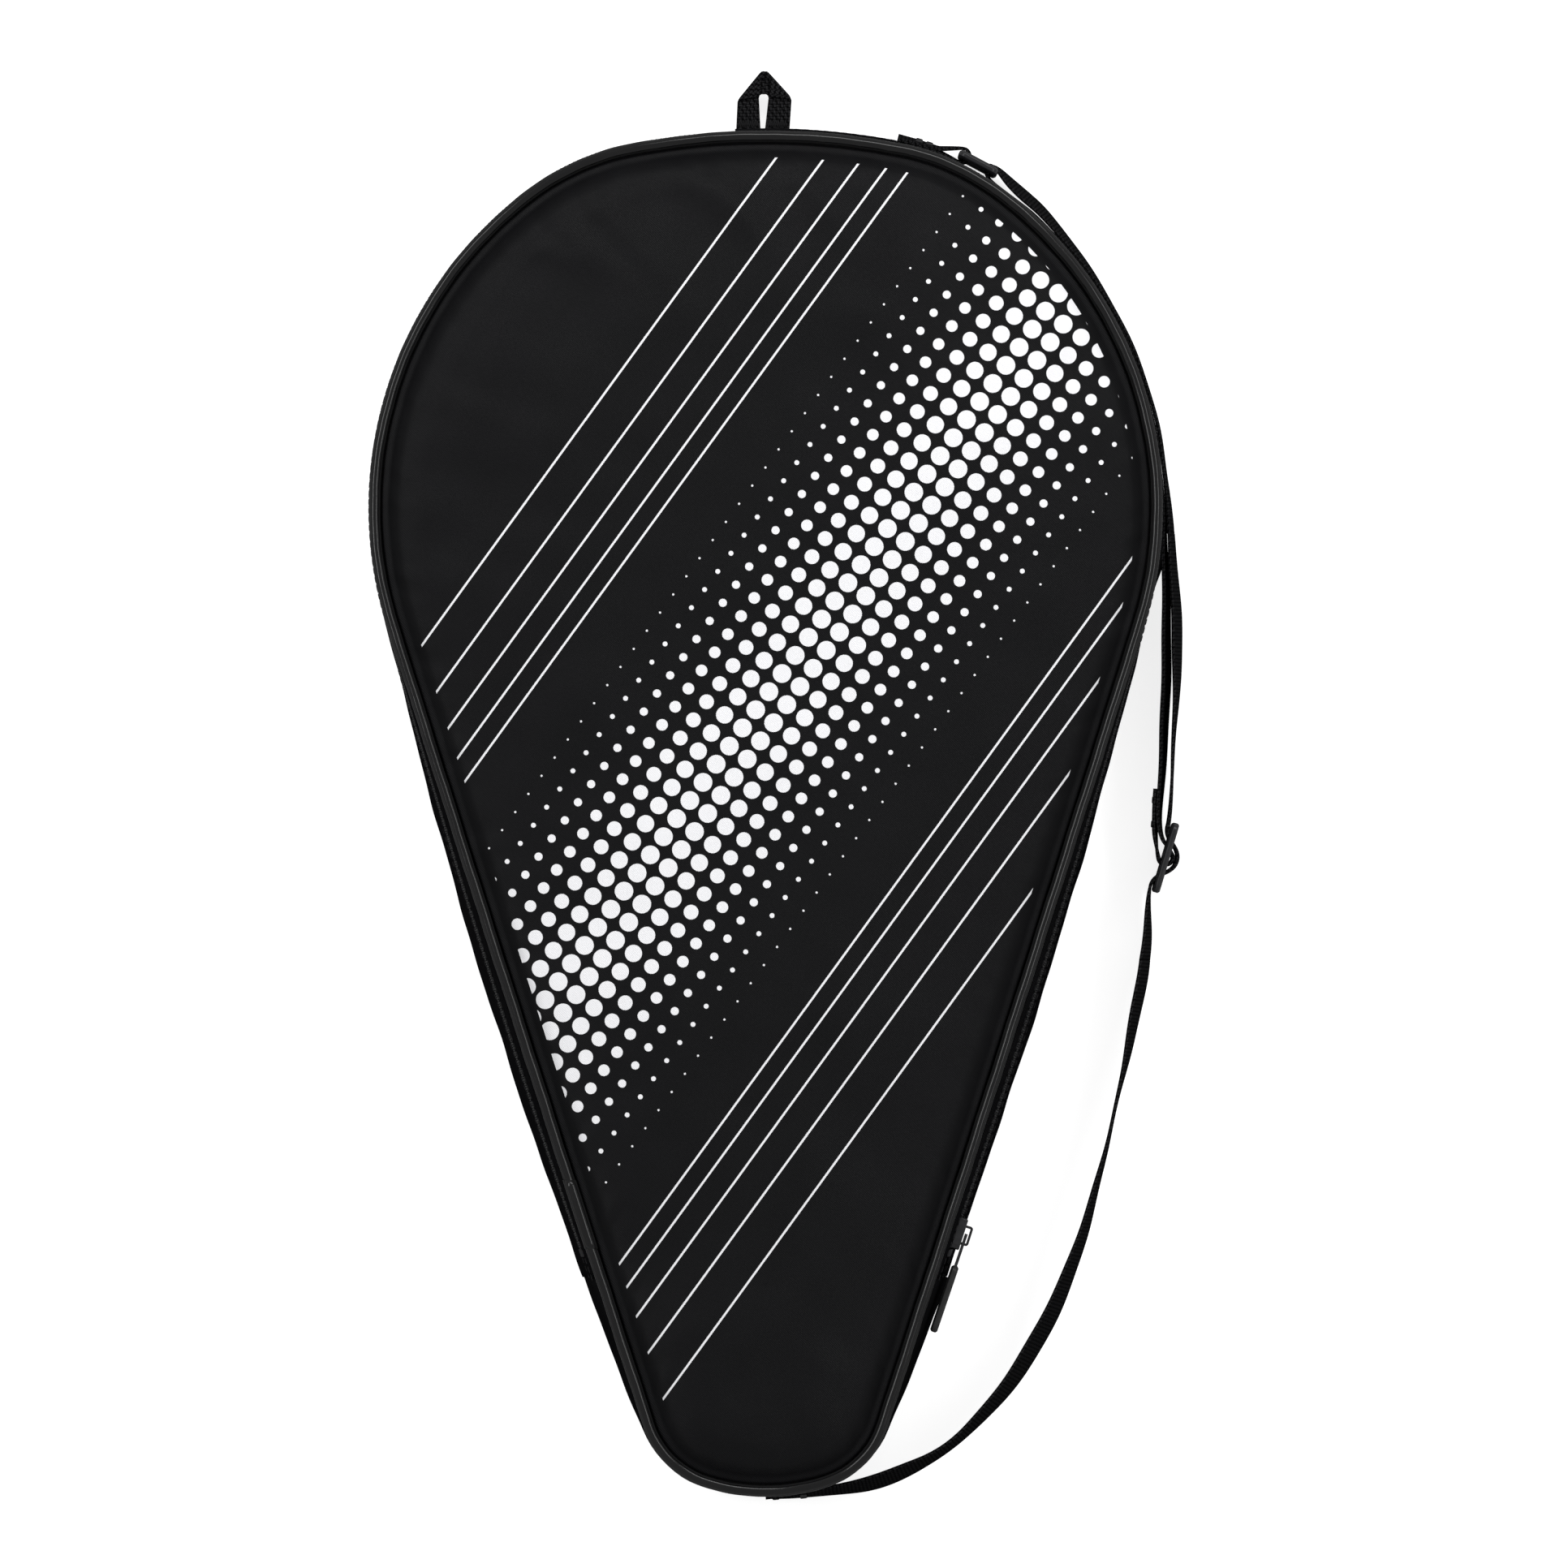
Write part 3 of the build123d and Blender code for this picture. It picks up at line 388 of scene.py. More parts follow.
# Each point of the strap's way is (x, y, lean): metres, and degrees that its top edge leans in.
TOE_RUN = [
    (0.0, -0.2459, 2.0), (0.0225, -0.2440, 8.0), (0.0445, -0.2391, 15.0),
    (0.0648, -0.2290, 6.0), (0.0832, -0.2112, 11.5), (0.0984, -0.1888, 14.5),
    (0.1107, -0.1620, 10.0), (0.1192, -0.1333, 4.5), (0.1262, -0.1037, 0.5),
    (0.1325, -0.0740, 9.0), (0.1369, -0.0500, 8.5),
]
GLIDE_RUN = [
    (0.137492, -0.028688, 2.0), (0.139206, -0.022938, 0.0), (0.146672, -0.019946, 0.0),
    (0.148386, -0.014196, 0.0), (0.143777, -0.007605, 0.0), (0.1453, -0.001798, 0.0),
]
OUTER_RUN = [
    (0.1459, 0.0140, 1.5), (0.1471, 0.0350, 3.0), (0.1482, 0.0600, 9.0),
    (0.1466, 0.0880, 6.5), (0.1443, 0.1166, 3.0), (0.1408, 0.1422, 2.0),
    (0.1321, 0.1686, 2.0), (0.1183, 0.1929, 4.0), (0.1017, 0.2143, 8.0),
    (0.0901, 0.2242, 10.0),
]
RING_TURN = [(0.0811, 0.2344, 2.0), (0.0778, 0.2298, -2.0)]
INNER_RUN = [
    (0.0886, 0.2212, -2.0), (0.0994, 0.2127, -1.5), (0.1176, 0.1920, -1.0),
    (0.1309, 0.1680, -1.0), (0.1394, 0.1419, -1.0), (0.1428, 0.1164, -1.5),
    (0.1436, 0.0880, -5.0), (0.1442, 0.0600, -7.5), (0.1434, 0.0340, -7.0),
    (0.1422, 0.0120, -5.0), (0.14095, -0.0073, -3.0),
]
BAR_TURN = [
    (0.145571, -0.013791, 0.0), (0.146412, -0.016554, 0.0), (0.144441, -0.018662, 0.0),
    (0.141629, -0.018009, 0.0), (0.140789, -0.015247, 0.0),
]
SEWN_TAIL = [(0.13985, -0.0090, 3.0), (0.13975, -0.0045, 4.0), (0.14065, 0.0089, 5.0)]
STRAP_ROUTE = TOE_RUN + GLIDE_RUN + OUTER_RUN + RING_TURN + INNER_RUN + BAR_TURN + SEWN_TAIL


def spline_points(name, route):
    """The points of a smooth NURBS line with the route as its control points, in millimetres."""
    curve = bpy.data.curves.new(name, "CURVE")
    curve.dimensions = "3D"
    curve.resolution_u = 12
    spline = curve.splines.new("NURBS")
    spline.points.add(len(route) - 1)
    for point, place in zip(spline.points, route):
        point.co = (*place, 1.0)
    spline.order_u = 3
    spline.use_endpoint_u = True
    holder = bpy.data.objects.new(name, curve)
    mesh = bpy.data.meshes.new_from_object(holder)
    points = np.array([vertex.co for vertex in mesh.vertices]) / MM
    bpy.data.objects.remove(holder)
    bpy.data.curves.remove(curve)
    bpy.data.meshes.remove(mesh)
    return points


UP = np.array([[0.0, 0.0, 1.0]])


def leaning(path, lean):
    """A webbing's frame along its path: along, out of its face, and up its width."""
    way = np.gradient(path, lengths(path), axis=0)
    way /= np.linalg.norm(way, axis=1)[:, None]
    side = np.cross(way, UP[0])
    tilt = np.radians(lean)[:, None]
    return way, side * np.cos(tilt) + UP * np.sin(tilt), UP * np.cos(tilt) - side * np.sin(tilt)


def ribbon(name, path, lean, start=0.0):
    """Webbing along a path in the level plane, on edge, leaning by these degrees."""
    along = lengths(path)
    _, out, up = leaning(path, lean)
    corners = rounded(WEB_T, WEB_W, 0.45 * WEB_T)
    face = [(WEB_T / 2, share * WEB_W) for share in (-0.36, -0.2, 0.0, 0.2, 0.36)]
    section = [point for point in corners if point[1] > 0]
    section += [(-across, -place) for across, place in face]
    section += [point for point in corners if point[1] < 0] + face
    sag = 0.12 * np.sin(2 * math.pi * along / 31.0)[:, None]
    grid = np.array([path + out * (x + sag) + up * y for x, y in section])
    around = lengths(np.array(section + section[:1]))
    return grid_piece(name, "webbing", grid, along + start, around, wrap_rows=True)


strap_line = spline_points("strap_line", [(x, y, STRAP_Z * MM) for x, y, _ in STRAP_ROUTE])
strap_lean = spline_points("strap_lean", [(0.0, 0.0, tip * MM) for _, _, tip in STRAP_ROUTE])[:, 2]
run_length = lengths(strap_line)
LOWER_END_Y, OUTER_CUT_Y, INNER_CUT_Y = -54.0, 99.0, 104.0
ring_tip = int(np.argmax(strap_line[:, 1]))
lower_end = int(np.argmax(strap_line[:, 1] > LOWER_END_Y))
outer_end = int(np.argmax(strap_line[:, 1] > OUTER_CUT_Y))
inner_start = ring_tip + int(np.argmax(strap_line[ring_tip:, 1] < INNER_CUT_Y))


def strap_piece(name, first, last, body, far_body, start, end):
    """A stretch of the strap as its own piece, baked where it lies."""
    path = strap_line[first : last + 1]
    piece = ribbon(name, path, strap_lean[first : last + 1], start=run_length[first])
    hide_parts("shoulder_strap")
    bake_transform(piece)
    return piece


STRAP_LEVEL = STRAP_Z * MM
TOWARDS_GLIDE = ((0.1095, -0.1615, STRAP_LEVEL), (0.1318, -0.0680, STRAP_LEVEL))
PAST_GLIDE = ((0.1455, 0.0040, STRAP_LEVEL), (0.1455, 0.0960, STRAP_LEVEL))
TOWARDS_RING = ((0.1370, 0.1550, STRAP_LEVEL), (0.0915, 0.2255, STRAP_LEVEL))
strap_piece("strap_lower", 0, lower_end, "case", "triglide", *TOWARDS_GLIDE)
strap_piece("strap_outer", lower_end, outer_end, "triglide", "case", *PAST_GLIDE)
strap_piece("strap_crown", outer_end, ring_tip, "case", "strap_ring", *TOWARDS_RING)
strap_piece("strap_return", ring_tip, inner_start, "strap_ring", "case", *TOWARDS_RING[::-1])
strap_piece("strap_inner", inner_start, len(strap_line) - 1, "triglide", "case", *PAST_GLIDE)


# ---------------------------------------------------------------- the teardrop, as in the source
CASE_LENGTH, CASE_WIDTH = 489.2, 284.6
CROWN_R, CROWN_CUT, BROW_R = 254.0, 7.3, 89.0
BELLY_SIDE_R, PANEL_SIDE_R = 2130.0, 30000.0
CORNER_R, CORNER_X, TOE_R = 34.7, 11.2, 75.2
HEAD_R, TOP_Y, TOE_Y = CASE_WIDTH / 2, CASE_LENGTH / 2, -CASE_LENGTH / 2
BACK_SEAM_Z, BELLY_Z, ZIP_Z, FRONT_SEAM_Z = 4.2, 22.0, 38.0, 48.0
SEAM_LEAN, ZIP_SHARE, PIPING_R, PIPING_INSET, SEAM_GAP = 1.2, 0.45, 2.0, 1.2, 0.5
SEAM_FREE = PIPING_R + SEAM_GAP
GUSSET_T, TAPE_T = 1.2, 0.6
GUSSET_LOW, GUSSET_HIGH, ZIP_LOW, ZIP_HIGH = 6.7, 45.5, 33.4, 42.6
TAPE_IN = 1.45
ZIP_END_Y, CHAIN_END_Y = -166.0, -155.75
BACK_T = 6.0
PANEL_BASE_Z, EDGE_H, CHANNEL_W, SHOULDER_W, PANEL_FLAT, CROWN_H = 46.4, 1.7, 2.4, 7.0, 24.0, 8.4


def meet(a, reach_a, b, reach_b):
    gap = math.dist(a, b)
    along = (reach_a**2 - reach_b**2 + gap**2) / (2 * gap)
    aside = math.sqrt(reach_a**2 - along**2)
    ux, uy = (b[0] - a[0]) / gap, (b[1] - a[1]) / gap
    return (a[0] + ux * along + uy * aside, a[1] + uy * along - ux * aside)


def bearing(a, b):
    return math.degrees(math.atan2(b[1] - a[1], b[0] - a[0]))


def flank(side_r):
    """The right half's arcs from crown to toe, each as (middle, radius, start, end)."""
    crown = (0, TOP_Y - CROWN_R)
    head = (0, TOP_Y + CROWN_CUT - HEAD_R)
    toe = (0, TOE_Y + TOE_R)
    brow = meet(crown, CROWN_R - BROW_R, head, HEAD_R - BROW_R)
    corner = (CORNER_X, toe[1] - math.sqrt((TOE_R - CORNER_R) ** 2 - CORNER_X**2))
    side = meet(head, side_r - HEAD_R, corner, side_r - CORNER_R)
    turns = [90, bearing(crown, brow), bearing(head, brow), bearing(side, head)]
    turns += [bearing(side, corner), bearing(toe, corner), -90]
    middles = [crown, brow, head, side, corner, toe]
    radii = [CROWN_R, BROW_R, HEAD_R, side_r, CORNER_R, TOE_R]
    return list(zip(middles, radii, turns[:-1], turns[1:]))


def panel_share(z):
    if z <= BELLY_Z:
        return 0.0
    if z < ZIP_LOW:
        return ZIP_SHARE * (z - BELLY_Z) / (ZIP_LOW - BELLY_Z)
    if z <= ZIP_HIGH:
        return ZIP_SHARE
    return min(1.0, ZIP_SHARE + (1 - ZIP_SHARE) * (z - ZIP_HIGH) / (FRONT_SEAM_Z - ZIP_HIGH))


def side_radius(z):
    share = panel_share(z)
    return 1 / ((1 - share) / BELLY_SIDE_R + share / PANEL_SIDE_R)


def lean(z):
    """How far the gusset's face lies inside its fullest outline."""
    if z > BELLY_Z:
        return SEAM_LEAN * panel_share(z)
    return SEAM_LEAN * min(1.0, (BELLY_Z - z) / (BELLY_Z - BACK_SEAM_Z))


def outline(side_r, inset, shares):
    """Points and ways out at these shares: 0 at the crown, 1 at the toe, negative on the left."""
    arcs = flank(side_r)
    shares = np.where(np.asarray(shares) > 1.0, np.asarray(shares) - 2.0, shares)
    spans = [(radius - inset) * math.radians(start - end) for _, radius, start, end in arcs]
    ends = np.cumsum(spans)
    along = np.abs(shares) * ends[-1]
    pick = np.minimum(np.searchsorted(ends, along, side="left"), len(arcs) - 1)
    middles, radii, starts, _ = (np.array(part)[pick] for part in zip(*arcs))
    radii, before = radii - inset, np.concatenate([[0.0], ends])[pick]
    turn = np.radians(starts) - (along - before) / radii
    out = np.stack([np.cos(turn), np.sin(turn)], axis=-1)
    points = middles + out * radii[:, None]
    mirror = np.where(shares < 0, -1.0, 1.0)
    points[:, 0] *= mirror
    out[:, 0] *= mirror
    return points, out


def share_at(side_r, inset, limit):
    """The share at which the outline reaches (y, is_left) below the head, or (x,) on the crown."""
    shares = np.linspace(0.0, 1.0, 4001)
    points, _ = outline(side_r, inset, shares)
    if len(limit) == 1:
        crown = shares < 0.2
        return math.copysign(np.interp(abs(limit[0]), points[crown, 0], shares[crown]), limit[0])
    share = np.interp(-limit[0], -points[:, 1], shares)
    return -share if limit[1] else share


def share_limits(side_r, inset, ends):
    """The first and last shares between two limits, by way of the toe if that is how they run."""
    first, last = [share_at(side_r, inset, limit) for limit in ends]
    return first, last if last > first else last + 2.0


def round_length(side_r, inset):
    return 2 * sum((r - inset) * math.radians(a - b) for _, r, a, b in flank(side_r))


def stations(side_r, inset, spacing, ends=None):
    """Evenly spaced shares all round, or between two limits."""
    whole = round_length(side_r, inset)
    if ends is None:
        return np.linspace(-1.0, 1.0, int(whole / spacing), endpoint=False)
    first, last = share_limits(side_r, inset, ends)
    return np.linspace(first, last, int(whole * (last - first) / 2 / spacing))


ABOVE_ZIP_END = ((ZIP_END_Y, True), (ZIP_END_Y, False))
BELOW_ZIP_END = ((ZIP_END_Y - 0.2, False), (ZIP_END_Y - 0.2, True))


def band_piece(name, slot, profile, spacing, ends=None, seam_z=None, wobble=None, look=None):
    """A band round the cover through a closed profile of (inset, z) points, thickness and all.

    A seam_z keeps one outline for the whole profile, as piping does. wobble gives (out, up) in
    millimetres from the columns' lengths, their points and the profile point's height.
    """
    fixed = None if seam_z is None else (side_radius(seam_z), SEAM_LEAN)
    side_r, base = fixed or (side_radius(profile[0][1]), lean(profile[0][1]))
    shares = stations(side_r, base, spacing, ends)
    along = (shares - shares[0]) * round_length(side_r, base) / 2
    rows = []
    ones = np.ones(len(shares))
    for inset, z in profile:
        row_r, row_base = fixed or (side_radius(z), lean(z))
        row_shares = shares
        if ends is not None:
            limits = share_limits(row_r, row_base + inset, ends)
            row_shares = np.linspace(*limits, len(shares))
        points, out = outline(row_r, row_base + inset, row_shares)
        push, rise = wobble(along, points, z) if wobble else (0.0, 0.0)
        rows.append(np.column_stack([points + out * (push * ones)[:, None], z + rise * ones]))
    around = lengths(np.array(list(profile) + [profile[0]]))
    us = np.append(along, round_length(side_r, base))
    return grid_piece(
        name, slot, np.array(rows), us, around,
        wrap_rows=True, wrap_columns=ends is None, look=look,
    )


HEM_PROUD = 0.35


def wall(low, high, outer, thick, hem_low=0.0, hem_high=0.0):
    """A closed profile for a cloth band, from low to high, with folded hems at its edges."""
    levels = [low, low + 0.5]
    if hem_low:
        levels += [low + hem_low - 0.6, low + hem_low + 0.4]
    inner_low = levels[-1]
    inner_high = high - hem_high - 0.4 if hem_high else high - 0.5
    steps = max(2, int((inner_high - inner_low) / 4.0))
    inner_levels = [inner_low + (inner_high - inner_low) * i / steps for i in range(1, steps)]
    if low < BELLY_Z < high:
        inner_levels = sorted([z for z in inner_levels if abs(z - BELLY_Z) > 1.5] + [BELLY_Z])
    levels += inner_levels
    if hem_high:
        levels += [high - hem_high - 0.4, high - hem_high + 0.6]
    levels += [high - 0.5, high]
    profile = []
    for z in levels:
        hemmed = z < low + hem_low or z > high - hem_high
        inset = outer - HEM_PROUD if hemmed else outer
        profile.append((outer + 0.3 * thick if z in (low, high) else inset, z))
    inner = [(outer + thick, z) for z in levels[1:-1]]
    return profile + [(outer + 0.75 * thick, high)] + inner[::-1] + [(outer + 0.75 * thick, low)]


def ripple(along, *waves):
    """A sum of sines: each wave is (length, height, phase)."""
    total = 0.0
    for length, height, phase in waves:
        total = total + height * np.sin(2 * math.pi * along / length + phase)
    return total


# ---------------------------------------------------------------- stitches and teeth
def scatter(name, slot, shape, faces, places, ways, outs, ups):
    """Copies of a small shape, given as (along, out, up) points, at these places."""
    shape = np.asarray(shape)
    points = places[:, None, :] + sum(
        np.broadcast_to(axes, places.shape)[:, None, :] * shape[None, :, side : side + 1]
        for side, axes in enumerate((ways, outs, ups))
    )
    shift = np.arange(len(places)) * len(shape)
    all_faces = [[corner + step for corner in face] for step in shift for face in faces]
    return new_piece(name, slot, points.reshape(-1, 3), all_faces)


def round_frames(side_r, inset, shares, z):
    """Places on the outline at this height, with the ways along it and out of it."""
    points, out = outline(side_r, inset, shares)
    level, height = np.zeros((len(points), 1)), np.full((len(points), 1), z)
    way = np.stack([out[:, 1], -out[:, 0]], axis=-1)
    return np.hstack([points, height]), np.hstack([way, level]), np.hstack([out, level])


def bar_shape(length, width, height):
    """A small rounded bar along the first axis, as points and faces."""
    points, faces = [], []
    for step, grow in ((-0.5, 0.55), (-0.3, 1.0), (0.3, 1.0), (0.5, 0.55)):
        for turn in range(6):
            angle = math.radians(60 * turn)
            across = (0.5 * width * grow * math.cos(angle), 0.5 * height * grow * math.sin(angle))
            points.append((length * step, *across))
    for ring in range(3):
        for side in range(6):
            a, b = ring * 6 + side, ring * 6 + (side + 1) % 6
            faces.append([a, b, b + 6, a + 6])
    faces.append([5, 4, 3, 2, 1, 0])
    faces.append([18 + side for side in range(6)])
    return points, faces


STITCH_PITCH, STITCH_LENGTH = 3.1, 2.3


def stitch_rows(name, inset, heights, ends):
    """Running stitches along the cover's outline, in rows at these heights."""
    shape, faces = bar_shape(STITCH_LENGTH, 0.5, 0.42)
    frames = []
    for z in heights:
        side_r, base = side_radius(z), lean(z) + inset
        shares = stations(side_r, base, STITCH_PITCH, ends)
        frames.append(round_frames(side_r, base, shares, z))
    places, ways, outs = (np.concatenate(parts) for parts in zip(*frames))
    return scatter(name, "thread", shape, faces, places, ways, outs, UP)


TACK_PITCH, TACK_SLANT, TACK_LENGTH = 0.8, 0.2, 2.4


def tacks(name, bases, ways, outs, ups, width):
    """Bartacks: close zigzag stitches up the webbing's width at each base."""
    shape, faces = bar_shape(TACK_LENGTH, 0.45, 0.5)
    zig = [(a, o, u + TACK_SLANT * a) for a, o, u in shape]
    zag = [(a, o, u + TACK_PITCH / 2 - TACK_SLANT * a) for a, o, u in shape]
    pair = faces + [[corner + len(shape) for corner in face] for face in faces]
    steps = np.arange(-width / 2, width / 2, TACK_PITCH)
    frames = [np.repeat(part, len(steps), axis=0) for part in (bases, ways, outs, ups)]
    frames[0] = frames[0] + frames[3] * np.tile(steps, len(bases))[:, None]
    return scatter(name, "thread", zig + zag, pair, *frames)


def on_case(piece, *nodes):
    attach(piece, "case")
    if nodes:
        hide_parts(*nodes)


def over_fold(piece, *nodes):
    """Bakes the piece where it lies, and hides the nodes that it stands for."""
    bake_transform(piece)
    if nodes:
        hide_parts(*nodes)


# ---------------------------------------------------------------- padded panels
RINGS = [0.0, 0.25, 0.9, 1.7, 2.4, 3.2, 4.3, 5.6, 7.0, 8.8, 11.0, 13.5, 16.0, 19.0, 22.0, 25.0]
SPINE_LOW_Y, SPINE_HIGH_Y = -168.0, 104.0
INNER_STEPS = 26


def panel_grid(seam_z, edge, spacing):
    """Rings of points from a panel's edge to its spine, and how far in each ring lies."""
    side_r = side_radius(seam_z)
    base = SEAM_LEAN + PIPING_INSET + edge
    shares = stations(side_r, base, spacing)
    rings = [outline(side_r, base + depth, shares)[0] for depth in RINGS]
    last = rings[-1]
    spine_y = np.clip(last[:, 1], SPINE_LOW_Y, SPINE_HIGH_Y)
    spine = np.column_stack([np.zeros(len(last)), spine_y])
    reach = np.hypot(*(last - spine).T)
    depths = [np.full(len(shares), depth) for depth in RINGS]
    for step in range(1, INNER_STEPS + 1):
        share = step / INNER_STEPS
        rings.append(last * (1 - share) + spine * share)
        depths.append(RINGS[-1] + reach * step / INNER_STEPS)
    return np.array(rings), np.array(depths), shares


def front_height(depth):
    """The front panel's height over its edge's depth, when it is plain."""
    steps = [0.0, 0.25, CHANNEL_W, SHOULDER_W, 2 * SHOULDER_W, PANEL_FLAT, 200.0]
    levels = [0.5, 0.8, EDGE_H - 0.2, EDGE_H + 3.5, EDGE_H + 5.7, CROWN_H, CROWN_H]
    return PANEL_BASE_Z + np.interp(depth, steps, levels)


PAD_PRESSURE, PAD_VOXEL, PAD_FRAMES = 1.3, 5.0, 20
RISE_CAP = 3.2
LOOK_DOWN, LOOK_FROM_Z = Vector((0, 0, -1)), 0.2


def swell(grid, low, high):
    """How far each grid point rises when the panel is blown up as cloth pinned along its edge."""
    rows, columns = grid.shape[:2]
    faces, _ = grid_faces(rows, columns, False, True)
    top = np.column_stack([grid.reshape(-1, 2), high.ravel()])
    bottom = np.column_stack([grid.reshape(-1, 2), low.ravel()])
    count = rows * columns
    quads = faces.tolist() + (faces[:, ::-1] + count).tolist()
    rim = [(c, (c + 1) % columns) for c in range(columns)]
    quads += [[a, a + count, b + count, b] for a, b in rim]
    hole = [(rows - 1) * columns + c for c in range(columns)]
    quads += [hole, [c + count for c in hole[::-1]]]
    mesh = bpy.data.meshes.new("front_pad")
    mesh.from_pydata((np.concatenate([top, bottom]) * MM).tolist(), [], quads)
    pad = add_object("front_pad", mesh)
    bpy.context.view_layer.objects.active = pad
    remesh = pad.modifiers.new("remesh", "REMESH")
    remesh.mode = "VOXEL"
    remesh.voxel_size = PAD_VOXEL * MM
    bpy.ops.object.modifier_apply(modifier=remesh.name)
    rest = np.array([vertex.co for vertex in pad.data.vertices])
    edge = grid[0] * MM
    group = pad.vertex_groups.new(name="pin")
    for index, place in enumerate(rest):
        gap = np.min(np.hypot(*(edge - place[:2]).T)) / MM
        group.add([index], float(np.clip(1.25 - gap / 8.0, 0.0, 1.0)), "REPLACE")
    cloth = pad.modifiers.new("cloth", "CLOTH")
    settings = cloth.settings
    settings.quality = 4
    settings.mass = 0.3
    settings.tension_stiffness = 18.0
    settings.compression_stiffness = 12.0
    settings.bending_stiffness = 0.6
    settings.use_pressure = True
    settings.uniform_pressure_force = PAD_PRESSURE
    settings.vertex_group_mass = "pin"
    settings.effector_weights.gravity = 0.0
    cloth.collision_settings.use_collision = False
    cloth.point_cache.frame_start, cloth.point_cache.frame_end = 1, PAD_FRAMES
    for step in range(1, PAD_FRAMES + 1):
        scene.frame_set(step)
    blown = pad.evaluated_get(bpy.context.evaluated_depsgraph_get()).to_mesh()
    moved = np.array([vertex.co for vertex in blown.vertices])
    polygons = [list(polygon.vertices) for polygon in blown.polygons]
    scene.frame_set(1)
    bpy.data.objects.remove(pad)
    tree = BVHTree.FromPolygons(moved.tolist(), polygons)
    flat = BVHTree.FromPolygons(rest.tolist(), polygons)
    rise = np.zeros(count)
    for index, (x, y, _) in enumerate(top * MM):
        new = tree.ray_cast(Vector((x, y, LOOK_FROM_Z)), LOOK_DOWN)[0]
        old = flat.ray_cast(Vector((x, y, LOOK_FROM_Z)), LOOK_DOWN)[0]
        if new and old:
            rise[index] = np.clip((new.z - old.z) / MM, -RISE_CAP, RISE_CAP)
    return rise.reshape(rows, columns)


def smooth_rings(values):
    for _ in range(3):
        values = 0.5 * values + 0.25 * (np.roll(values, 1, axis=1) + np.roll(values, -1, axis=1))
    return values


# Drag lines in the front cloth, each as (x, y, heading in degrees, length, width, height).
DRAG_LINES = [
    (-78.0, 214.0, -38.0, 26.0, 4.0, 1.26),
    (-62.0, 220.0, -48.0, 30.0, 4.8, 1.15),
    (-84.0, 204.0, -20.0, 22.0, 4.0, 1.03),
    (-28.0, 230.0, -42.0, 34.0, 5.2, 1.38),
    (-14.0, 224.0, -60.0, 24.0, 4.4, 1.15),
    (14.0, 226.0, -50.0, 30.0, 4.8, 1.15),
    (38.0, 224.0, -62.0, 22.0, 4.8, 0.8),
    (104.0, 168.0, -128.0, 34.0, 6.4, 0.59),
    (-118.0, 150.0, -20.0, 30.0, 5.6, 0.59),
    (-104.0, -30.0, 18.0, 30.0, 5.6, 0.51),
    (96.0, -52.0, 160.0, 30.0, 6.4, 0.51),
    (-46.0, -196.0, 30.0, 26.0, 4.8, 0.51),
    (40.0, -206.0, 150.0, 24.0, 4.8, 0.51),
]


def drag(points):
    total = np.zeros(points.shape[:-1])
    for x, y, heading, length, width, height in DRAG_LINES:
        turn = math.radians(heading)
        dx, dy = points[..., 0] - x, points[..., 1] - y
        along = dx * math.cos(turn) + dy * math.sin(turn)
        aside = dy * math.cos(turn) - dx * math.sin(turn)
        total += height * np.exp(-((along / length) ** 2) - (aside / width) ** 2)
    return total


def soft_noise(points, size, seed):
    """Smooth noise of this size over points in the level plane."""
    flat = points.reshape(-1, 2) / size
    values = [noise.noise(Vector((x, y, seed))) for x, y in flat]
    return np.array(values).reshape(points.shape[:-1])


def panel_piece(name, slot, look, rings, depths, top, under):
    """A closed panel from its rings: the crowned side, and a plain one behind it."""

    def both(upper, lower):
        outer, inner = lower[: len(RINGS) : 3], lower[: len(RINGS) - 1 : -4]
        return np.concatenate([inner, outer[::-1], upper])

    grid = np.dstack([both(rings, rings), both(top, under)])
    columns = rings.shape[1]
    faces, _ = grid_faces(len(grid), columns, False, True)
    corners = faces.ravel()
    flat = grid[..., :2].reshape(-1, 2)[corners]
    edge = np.repeat(both(depths, depths).reshape(-1, 1)[corners], 2, axis=1)
    return new_piece(name, slot, grid.reshape(-1, 3), faces.tolist(), flat, look, edge, weld=True)


rings, depths, shares = panel_grid(FRONT_SEAM_Z, SEAM_FREE, 3.0)
top = front_height(depths)
rise = np.zeros(top.shape)
rise = smooth_rings(swell(rings, np.full(top.shape, PANEL_BASE_Z - 1.5), top - 1.0))
hold = np.clip((depths - CHANNEL_W) / 14.0, 0.0, 1.0) ** 0.8
round_mm = shares * round_length(side_radius(FRONT_SEAM_Z), SEAM_LEAN) / 2
pucker = ripple(round_mm, (9.7, 0.22, 0.4), (13.3, 0.2, 2.1), (23.0, 0.16, 4.0))
near_seam = np.exp(-(((depths - 6.0) / 4.5) ** 2))
top = top + rise * hold * 0.6 + pucker[None, :] * near_seam
waves = 1.0 * soft_noise(rings, 46.0, 3.0) + 0.3 * soft_noise(rings, 17.0, 8.0)
top = top + hold * (drag(rings) + waves)
under = PANEL_BASE_Z + 0.1 + np.interp(depths, [3.0, 10.0, 24.0, 200.0], [0.0, 2.2, 3.8, 3.8])
under = np.minimum(under, top - 0.5)
front_cover = panel_piece("front_cover", "shell_cloth", "print", rings, depths, top, under)
over_fold(front_cover, "front_skin", "front_foam", "pocket_skin", "pocket_foam")

